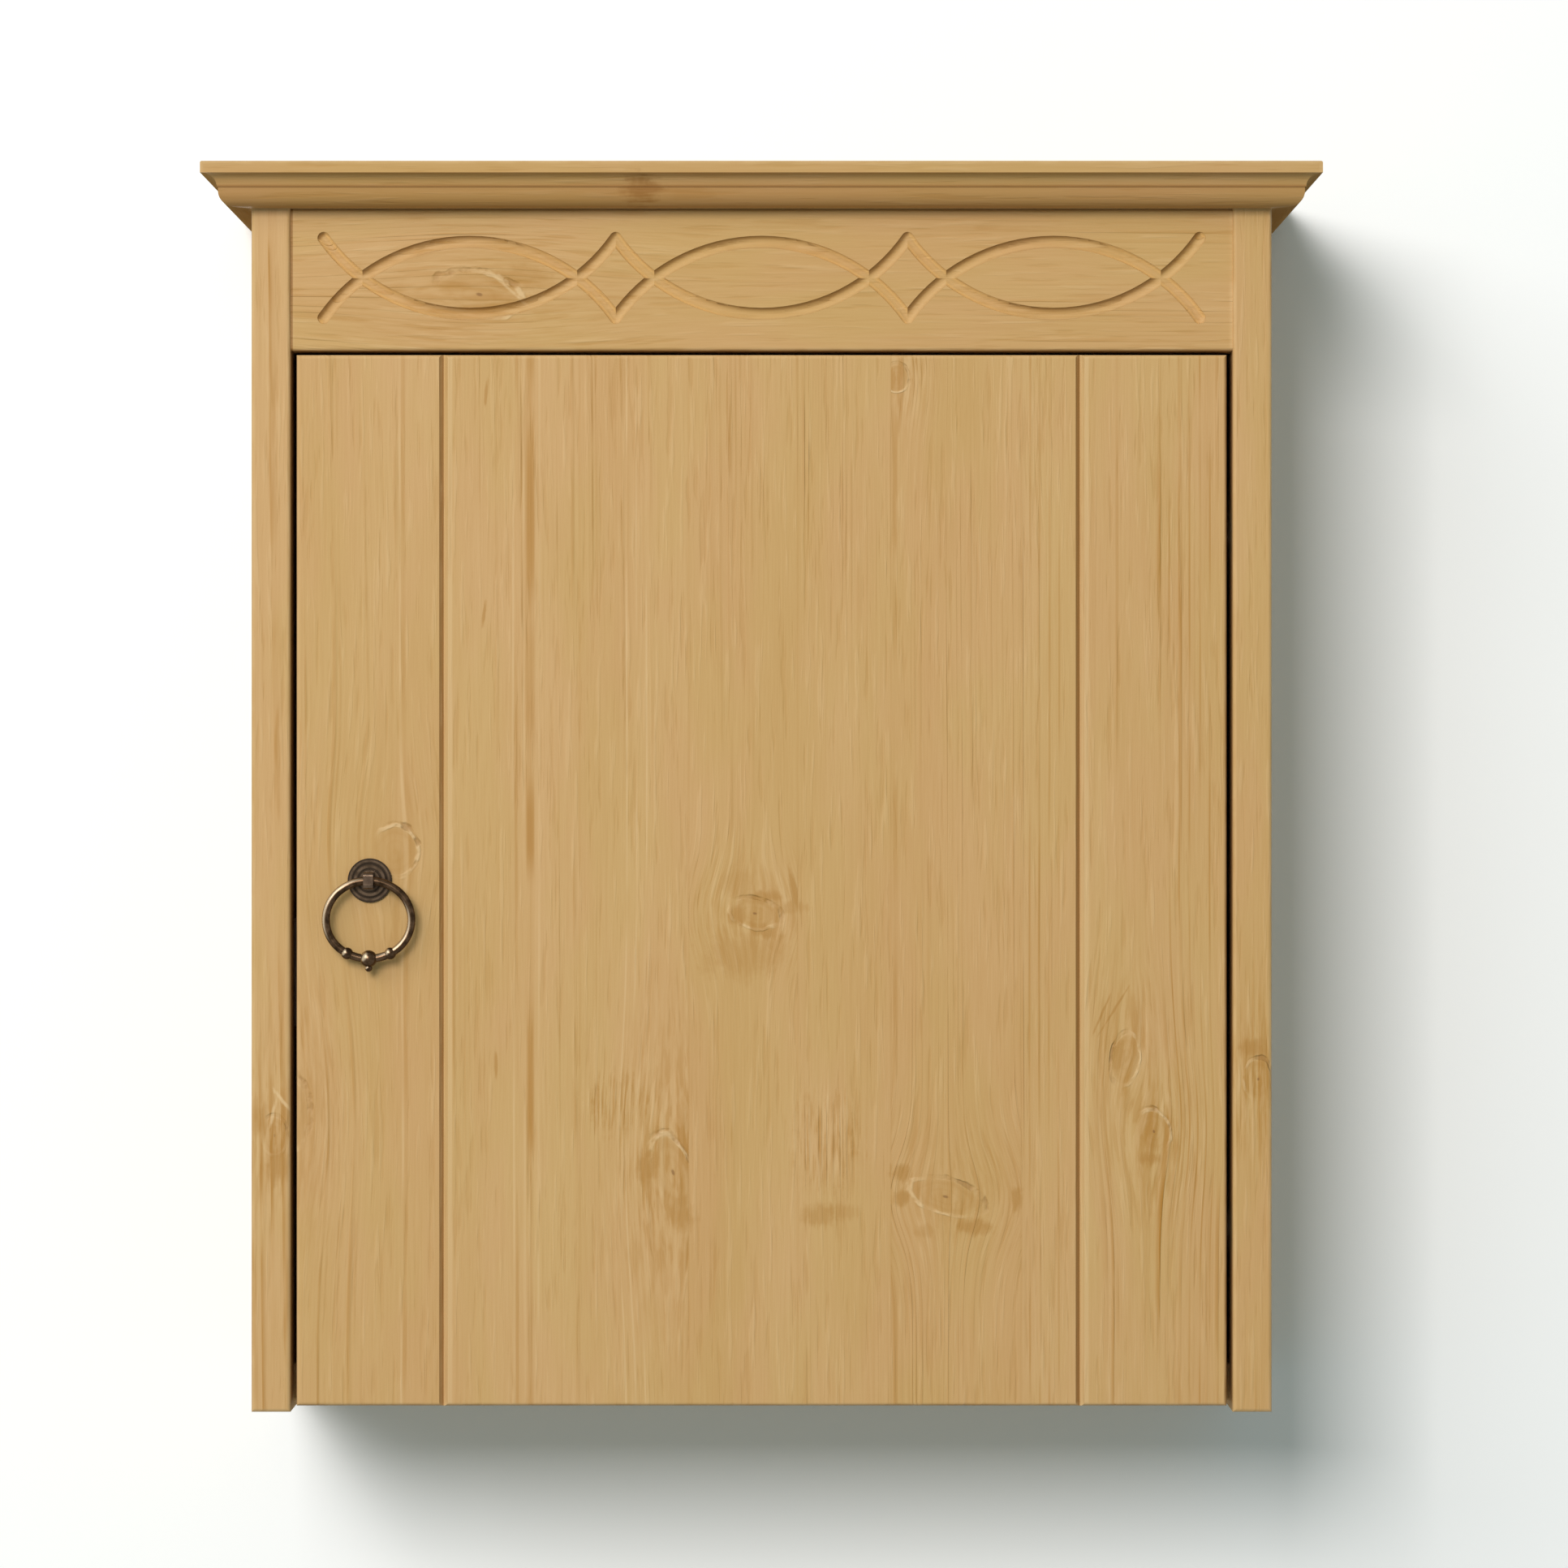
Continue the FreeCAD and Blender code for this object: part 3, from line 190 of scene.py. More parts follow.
pine = {
    "pale": (0.597, 0.385, 0.158, 1),
    "honey": (0.538, 0.322, 0.113, 1),
    "lateWood": (0.400, 0.185, 0.022, 1),
    "knotWood": (0.425, 0.218, 0.048, 1),
    "heart": (0.170, 0.068, 0.014, 1),
    "cream": (0.730, 0.520, 0.262, 1),
    # the wax colour also serves as painted shade in the grooves, under the cornice and at the frieze's
    # left end
    "wax": (0.275, 0.122, 0.026, 1),
    # glow is painted light that lifts the walls of a groove running down to the right
    "glow": (0.810, 0.500, 0.180, 1),     # walls of a groove that runs down to the right
    "straw": (0.988, 1.006, 0.965, 1),    # tints that come and go along each board
    "blush": (1.012, 0.994, 1.030, 1),
}

# from here on, a ramp is: start, end, and the values there if they aren't 0 and 1

growth = {
    "ring": 0.0026,             # one year
    "uneven": (0.31, 2.4),      # good and poor years: how often, and by how many rings
    "waver": 0.004,             # how far the rings wander
    "drift": 7.0,               # how quickly, over the section, along the board and by stave
    "driftAlong": 1.6,
    "driftStave": 3.7,
    "pithDepth": 0.05,
    "luckPower": 2.4,           # most years leave only a faint line
    "luck": (0.85, 0.10),
    "luckNearKnot": 0.8,
    "lateRise": (0.30, 0.86),   # late wood, by the part of the year
    "lateFall": (0.90, 1.0, 1, 0),
    "glueLine": (0.0002, 0.0009, 1, 0),
    "sheen": (0.16, 0.46),      # roughness, by the fibres
    "lineSheen": -0.10,
}

# steps of the noise from one board's seed to the next
seedSteps = {"stave": 17.0, "years": 31.0, "luck": 5.0, "streak": 9.0}

# streaks along the grain: turns per metre across and along, and detail
streaks = {
    "cluster": (32.0, 5.0, 2.0),
    "broken": (210.0, 15.0, 2.0),
    "fibre": (900.0, 32.0, 3.0),
    "stroke": (300.0, 24.0, 2.0),
    "glint": (340.0, 22.0, 2.0),
    "comb": (650.0, 48.0, 2.0),
    "tone": (20.0, 4.0, 3.0),
    "tint": (30.0, 8.0, 2.0),
    "feather": (520.0, 45.0, 2.0),
}
streakRamps = {
    "cluster": (0.42, 0.64, 0.06, 1.25),
    "broken": (0.36, 0.60, 0.25, 1.1),
    "stroke": (0.55, 0.70),
    "glint": (0.56, 0.71),
    "tooth": (0.51, 0.60),
    "gap": (0.40, 0.49, 1, 0),
    "tint": (0.35, 0.65),
}

# how strongly each mark colours the wood
weights = {
    "tone": (1.3, -0.36),
    "staveTone": 0.34,
    "stroke": (0.27, 0.18),     # round a knot, and everywhere
    "glint": (0.10, 0.18),
    "tooth": 0.42,
    "gap": 0.24,
    "glue": 0.13,
    "fibre": {"Red": 0.14, "Green": 0.22, "Blue": 0.40},
    "knotRim": 0.7,
    "knotCrack": 0.36,
}
stripeLook = {"core": 0.3, "patches": 7.0, "step": 400, "patchy": (0.38, 0.62, 0.08, 1.0)}

# relief of the brushed grain, and what adds to it
grainDepth = 0.00022
reliefShares = {"line": 1.0, "fibre": 0.35, "glint": 0.5, "stroke": -0.5}
knotRelief = {"pale": 1.2, "crack": -2.0}

# outlines are in half sizes of the knot or smudge
knotLook = {
    "ragged": (150, 0.30),      # scale and depth of the uneven outline
    "edge": (0.84, 1.03, 1, 0),
    "rim": (0.35, 0.95),
    "shade": (0.55, 0.55),
    "breaks": 130,              # scale of the breaks in rim and crack
    "broken": (0.36, 0.60),
    "crackMost": 1.25,
    "paleBand": (1.00, 1.09, 0.08),
    "crackBand": (1.04, 1.17, 0.10),
    "arc": 0.8,
    "rings": (19, 0.09),
    "heart": (0.04, 0.11, 1, 0),
    "spread": 3.6,              # how far the grain swells round it
    "spreadAcross": 2.7,
    "pull": 0.55,
}
usualKnot = {"shade": 0.36, "heart": 0.6, "rim": 1.0, "brushed": 1.0,
             "crackSide": 50, "paleSide": 250, "paleFrom": -0.2}
smudgeLook = {"ragged": (240, 0.7), "feather": 1.4, "edge": (0.35, 1.05, 1, 0)}
usualSmudge = {"shade": 0.7, "tint": "knotWood"}

wearAndShade = {
    "endGrain": (0.75, 0.98, 0, 0.35),
    "grooveTop": (0.00030, 0.00025),    # depth at which a groove's painted shade and highlight start, and their softness
    "shadeSide": (0.8, 0, -0.6),        # groove walls turned away from the upper-left light, which get painted shade
    "paintedShade": (0.1, 0.6),
    "paintedHighlight": (-0.6, -0.1),
    "highlightShare": 0.4,
    "falling": (0.03, 0.20, 0, 0.60),
    "arris": (0.0020, 0.0008),          # width and softness of the painted highlight on the lit edge of a V-joint
    "arrisFront": (0.8, 0.95, 0, 0.36),
    "quirk": (-0.0004, 0.0005, 0.0006),
    "quirkShadow": 0.5,
    "edgePatchScale": 60,
    "wearAndHighlight": (0.35, 0.65, 0.3, 1.0),
    "edgeWearAndHighlight": (0.0006, 0.0024, 0.34, 0),
}

# the board's width and thickness, by the way that its grain runs
crossAxes = {"x": ("Z", "Y"), "y": ("X", "Z"), "z": ("X", "Y")}
usualBoard = {"lean": 0.004, "swing": 0.16, "lines": 0.44, "combed": 1.0, "gloss": 0.25,
              "staves": [], "knots": [], "fields": [], "stripes": [], "smudges": []}


def offsetFrom(tree, place, corner, mark):
    away = vector(tree, "SUBTRACT", place, tuple(corner + Vector(mark["spot"])))
    turn = {"Vector": away, "Axis": (0, 1, 0), "Angle": math.radians(-mark.get("tilt", 0))}
    turned = addNode(tree, "ShaderNodeVectorRotate", turn, rotation_type="AXIS_ANGLE").outputs[0]
    return away, vector(tree, "DIVIDE", turned, mark["half"])


def arcAround(tree, scaled, reach, degrees, start=0.0):
    way = (math.cos(math.radians(degrees)), 0, math.sin(math.radians(degrees)))
    toward = vector(tree, "DOT_PRODUCT", scaled, way)
    toward = calc(tree, "DIVIDE", toward, most(tree, reach, 0.01))
    return rampUp(tree, toward, start, start + knotLook["arc"])


def knotShape(tree, place, knot, corner, cross, home):
    knot = {**usualKnot, **knot}
    away, scaled = offsetFrom(tree, place, corner, knot)
    reach = vector(tree, "LENGTH", scaled)
    scale, depth = knotLook["ragged"]
    ragged = unevenBy(tree, reach, cloud(tree, place, scale), depth)
    body = times(tree, rampUp(tree, ragged, *knotLook["edge"]), home)
    cracked = arcAround(tree, scaled, reach, knot["crackSide"])
    rim = times(tree, rampUp(tree, ragged, *knotLook["rim"]), cracked)
    shade = gain(tree, rim, *knotLook["shade"])
    broken = rampUp(tree, cloud(tree, place, knotLook["breaks"]), *knotLook["broken"])
    palest = times(tree, broken, arcAround(tree, scaled, reach, knot["paleSide"], knot["paleFrom"]))
    darkest = times(tree, minus(tree, knotLook["crackMost"], broken), cracked)
    turns, ringShade = knotLook["rings"]
    rings = calc(tree, "SINE", times(tree, ragged, turns))

    # the grain swells round the knot, and shows most there
    spread = [size * knotLook["spread"] for size in knot["half"]]
    side = "XYZ".index(cross)
    spread[side] = knot["half"][side] * knotLook["spreadAcross"]
    far = vector(tree, "LENGTH", vector(tree, "DIVIDE", away, spread))
    swell = times(tree, calc(tree, "EXPONENT", times(tree, far, far, -1)), home)
    return {
        "pull": times(tree, swell, split(tree, away)[cross], knotLook["pull"]),
        "brushed": times(tree, swell, knot["brushed"]),
        "body": times(tree, body, shade, knot["shade"]),
        "pale": times(tree, band(tree, ragged, *knotLook["paleBand"]), palest, home, knot["rim"]),
        "crack": times(tree, band(tree, ragged, *knotLook["crackBand"]), darkest, home),
        "rings": times(tree, rings, body, ringShade),
        "heart": times(tree, rampUp(tree, reach, *knotLook["heart"]), knot["heart"]),
    }


def smudgeShape(tree, place, smudge, corner, feather=0.5):
    reach = vector(tree, "LENGTH", offsetFrom(tree, place, corner, smudge)[1])
    scale, depth = smudgeLook["ragged"]
    ragged = unevenBy(tree, reach, cloud(tree, place, scale, detail=3.0), depth)
    ragged = unevenBy(tree, ragged, feather, smudgeLook["feather"])
    return times(tree, rampUp(tree, ragged, *smudgeLook["edge"]), smudge["shade"])


def cutBoard(tree, name, board):
    low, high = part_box(name)
    first, second = board.get("cross", crossAxes[board["grain"]])
    source = addNode(tree, "ShaderNodeTexCoord").outputs
    axes = split(tree, source["Object"])
    cut = SimpleNamespace(low=low, high=high, first=first, second=second, axes=axes)
    cut.place, cut.normal = source["Object"], source["Normal"]
    cut.across, cut.deep, cut.along = axes[first], axes[second], axes[board["grain"].upper()]
    cut.edge = getattr(low, first.lower())

    # staves glued edge to edge, each from its own tree
    joints = [cut.edge + offset for offset in board["staves"]]
    cut.stave = cut.glue = 0.0
    for joint in joints:
        beside = calc(tree, "ABSOLUTE", minus(tree, cut.across, joint))
        cut.stave = plus(tree, cut.stave, calc(tree, "GREATER_THAN", cut.across, joint))
        cut.glue = plus(tree, cut.glue, rampUp(tree, beside, *growth["glueLine"]))
    lots = drawLots(tree, plus(tree, cut.stave, board["seed"] * seedSteps["stave"]))
    cut.chances = addNode(tree, "ShaderNodeSeparateColor", {"Color": lots["Color"]}).outputs

    # knots push the grain aside, inside their own stave
    cut.knots = []
    for knot in board["knots"]:
        knotAcross = cut.edge + knot["spot"]["XYZ".index(first)]
        ownStave = float(sum(knotAcross > joint for joint in joints))
        home = calc(tree, "COMPARE", cut.stave, ownStave, 0.5)
        cut.knots.append(knotShape(tree, cut.place, knot, low, first, home))
    cut.nearKnot = 0.0
    for knot in cut.knots:
        cut.across = minus(tree, cut.across, knot["pull"])
        cut.nearKnot = most(tree, cut.nearKnot, knot["brushed"])
    for field in board["fields"]:
        cut.nearKnot = most(tree, cut.nearKnot, smudgeShape(tree, cut.place, field, low))
    return cut


def streak(tree, cut, board, kind):
    fineness, length, detail = streaks[kind]
    start = board["seed"] * seedSteps["streak"]
    spot = point(tree, times(tree, cut.across, fineness), times(tree, cut.deep, fineness),
                 gain(tree, cut.along, length, start))
    return cloud(tree, spot, detail=detail, roughness=0.6)


def streakShown(tree, cut, board, kind):
    return rampUp(tree, streak(tree, cut, board, kind), *streakRamps[kind])


def growRings(tree, cut, board):
    # the pith lies to one side, and leans along the board
    middle = (cut.low + cut.high) / 2
    pithAcross, pithDeep = board["pith"]
    startAcross = getattr(middle, cut.first.lower()) + pithAcross - board["swing"] / 2
    startDeep = getattr(middle, cut.second.lower()) + pithDeep
    pithFirst = gain(tree, cut.chances[0], board["swing"], startAcross)
    pithSecond = gain(tree, cut.chances[1], growth["pithDepth"], startDeep)
    lean = times(tree, cut.along, board["lean"])
    farther = gain(tree, cut.along, growth["driftAlong"], times(tree, cut.stave, growth["driftStave"]))
    drift = point(tree, times(tree, cut.across, growth["drift"]),
                  times(tree, cut.deep, growth["drift"]), farther)
    cut.waver = gain(tree, cloud(tree, drift), growth["waver"], -growth["waver"] / 2)
    fromFirst = plus(tree, minus(tree, cut.across, pithFirst), plus(tree, lean, cut.waver))
    fromSecond = plus(tree, minus(tree, cut.deep, pithSecond), lean)
    squares = plus(tree, times(tree, fromFirst, fromFirst), times(tree, fromSecond, fromSecond))
    years = calc(tree, "DIVIDE", calc(tree, "SQRT", squares), growth["ring"])

    # each year's line is dark or faint by chance, and comes and goes along the board
    often, change = growth["uneven"]
    start = plus(tree, years, board["seed"] * seedSteps["years"])
    years = gain(tree, cloud(tree, start, often, dimensions="1D"), change, years)
    season = calc(tree, "FRACT", years)
    year = plus(tree, calc(tree, "FLOOR", years), board["seed"] * seedSteps["luck"])
    luck = calc(tree, "POWER", drawLots(tree, year)["Value"], growth["luckPower"])
    luck = gain(tree, luck, *growth["luck"])
    luck = most(tree, luck, times(tree, cut.nearKnot, growth["luckNearKnot"]))
    late = times(tree, rampUp(tree, season, *growth["lateRise"]),
                 rampUp(tree, season, *growth["lateFall"]))
    cluster = streakShown(tree, cut, board, "cluster")
    shown = times(tree, cluster, streakShown(tree, cut, board, "broken"))
    cut.line = times(tree, late, luck, most(tree, shown, cut.nearKnot))


def paint(tree, color, tint, *amounts):
    return blendColor(tree, times(tree, *amounts), color, pine[tint])


def paintGrain(tree, cut, board):
    tone = gain(tree, streak(tree, cut, board, "tone"), *weights["tone"])
    tone = gain(tree, cut.chances[2], weights["staveTone"], tone)
    tone = least(tree, most(tree, tone, 0.0), 1.0)
    color = blendColor(tree, tone, pine["pale"], pine["honey"])
    tint = blendColor(tree, streakShown(tree, cut, board, "tint"), pine["straw"], pine["blush"])
    color = blendColor(tree, 1.0, color, tint, "MULTIPLY")

    # lines, short strokes and glints, and the brush's comb round the knots
    color = paint(tree, color, "lateWood", cut.line, board["lines"])
    color = paint(tree, color, "lateWood", cut.stroke, gain(tree, cut.nearKnot, *weights["stroke"]))
    color = paint(tree, color, "cream", cut.glint, gain(tree, cut.nearKnot, *weights["glint"]))
    comb = streak(tree, cut, board, "comb")
    for part, tint in (("tooth", "lateWood"), ("gap", "cream")):
        shown = rampUp(tree, comb, *streakRamps[part])
        color = paint(tree, color, tint, shown, cut.nearKnot, weights[part] * board["combed"])
    color = paint(tree, color, "lateWood", cut.glue, weights["glue"])
    for offset, half, strength, tint in board["stripes"]:
        wander = plus(tree, minus(tree, cut.across, cut.edge + offset), cut.waver)
        patches = gain(tree, cut.along, stripeLook["patches"], offset * stripeLook["step"])
        patchy = rampUp(tree, cloud(tree, patches, dimensions="1D"), *stripeLook["patchy"])
        core = calc(tree, "ABSOLUTE", wander)
        core = rampUp(tree, core, half * stripeLook["core"], half, strength, 0)
        color = paint(tree, color, tint, core, patchy)
    channels = {}
    for channel, depth in weights["fibre"].items():
        channels[channel] = gain(tree, cut.fibre, depth, 1 - depth / 2)
    shade = addNode(tree, "ShaderNodeCombineColor", channels).outputs[0]
    return blendColor(tree, 1.0, color, shade, "MULTIPLY")


def paintMarks(tree, cut, board, color):
    for knot in cut.knots:
        color = paint(tree, color, "knotWood", knot["body"])
        color = paint(tree, color, "lateWood", knot["rings"])
        color = paint(tree, color, "cream", knot["pale"], weights["knotRim"])
        color = paint(tree, color, "wax", knot["crack"], weights["knotCrack"])
        color = paint(tree, color, "heart", knot["heart"])
    feather = streak(tree, cut, board, "feather")
    for mark in board["smudges"]:
        smudge = {**usualSmudge, **mark}
        shape = smudgeShape(tree, cut.place, smudge, cut.low, feather)
        color = paint(tree, color, smudge["tint"], shape)
    return color


def paintWearAndShade(tree, cut, board, color):
    # end grain drinks more wax; the foot of the cornice, the quirk, the frieze's left end and the
    # groove walls get painted shade, painted highlights and painted light
    facing = split(tree, cut.normal)
    endOn = calc(tree, "ABSOLUTE", facing[board["grain"].upper()])
    color = paint(tree, color, "wax", rampUp(tree, endOn, *wearAndShade["endGrain"]))
    fromLow = [minus(tree, cut.axes[axis], cut.low[axis]) for axis in range(3)]
    fromHigh = [minus(tree, cut.high[axis], cut.axes[axis]) for axis in range(3)]
    if "groove" in board:
        depth, strength = board["groove"]
        top, soft = wearAndShade["grooveTop"]
        sunk = band(tree, fromLow[1], top, depth, soft)
        # painted shade on the groove wall turned away from the upper-left light, painted highlight on
        # the wall turned to it
        turned = vector(tree, "DOT_PRODUCT", cut.normal, wearAndShade["shadeSide"])
        paintedShade = rampUp(tree, turned, *wearAndShade["paintedShade"], 0, strength)
        paintedHighlight = rampUp(tree, turned, *wearAndShade["paintedHighlight"], strength * wearAndShade["highlightShare"], 0)
        # painted light lifts the walls of a groove that runs down to the right
        falling = rampUp(tree, times(tree, facing["X"], facing["Z"]), *wearAndShade["falling"])
        color = paint(tree, color, "wax", sunk, paintedShade)
        color = paint(tree, color, "cream", sunk, paintedHighlight)
        color = paint(tree, color, "glow", sunk, falling)
    if "arris" in board:
        # painted highlight on the edge beside each V-joint that faces the light
        width, soft = wearAndShade["arris"]
        beside = band(tree, fromLow[0], board["arris"], board["arris"] + width, soft)
        front = vector(tree, "DOT_PRODUCT", cut.normal, (0, -1, 0))
        color = paint(tree, color, "cream", beside, rampUp(tree, front, *wearAndShade["arrisFront"]))
    if "foot" in board:
        # painted shade on the cornice's lower tiers under the fascia, and a painted shadow line in the
        # quirk under the cove
        height, strength, rest = board["foot"]
        below, above, soft = wearAndShade["quirk"]
        color = paint(tree, color, "wax", rampUp(tree, fromLow[2], height / 2, height, strength, rest))
        quirk = band(tree, fromLow[2], board["quirk"] + below, board["quirk"] + above, soft)
        color = paint(tree, color, "wax", quirk, wearAndShade["quirkShadow"])

    # handling has worn the arrises pale, and the pale arrises also stand in for a painted highlight on
    # the rounded edges
    inside = [least(tree, *sides) for sides in zip(fromLow, fromHigh)]
    smaller = least(tree, inside[0], inside[1])
    larger = most(tree, inside[0], inside[1])
    arris = most(tree, smaller, least(tree, larger, inside[2]))
    wearAndHighlight = rampUp(tree, cloud(tree, cut.place, wearAndShade["edgePatchScale"], detail=3.0), *wearAndShade["wearAndHighlight"])
    color = paint(tree, color, "cream", rampUp(tree, arris, *wearAndShade["edgeWearAndHighlight"]), wearAndHighlight)
    if "sideShadow" in board:
        # painted shadow that the left side panel casts on the end of the frieze
        width, strength = board["sideShadow"]
        color = paint(tree, color, "wax", rampUp(tree, fromLow[0], width / 2, width, strength, 0))
    return color


def pineFinish(name, board):
    board = {**usualBoard, **board}
    material, tree, shader = startFinish("pine_" + name)
    cut = cutBoard(tree, name, board)
    growRings(tree, cut, board)
    cut.fibre = streak(tree, cut, board, "fibre")
    cut.stroke = streakShown(tree, cut, board, "stroke")
    cut.glint = streakShown(tree, cut, board, "glint")
    color = paintMarks(tree, cut, board, paintGrain(tree, cut, board))
    tree.links.new(paintWearAndShade(tree, cut, board, color), shader.inputs["Base Color"])
    sheen = gain(tree, cut.line, growth["lineSheen"], gain(tree, cut.fibre, *growth["sheen"]))
    tree.links.new(sheen, shader.inputs["Roughness"])
    shader.inputs["Specular IOR Level"].default_value = board["gloss"]
    heights = [times(tree, getattr(cut, mark), share) for mark, share in reliefShares.items()]
    for part, share in knotRelief.items():
        heights += [times(tree, knot[part], share) for knot in cut.knots]
    addRelief(tree, shader, plus(tree, *heights), grainDepth)
    dress([name], material)


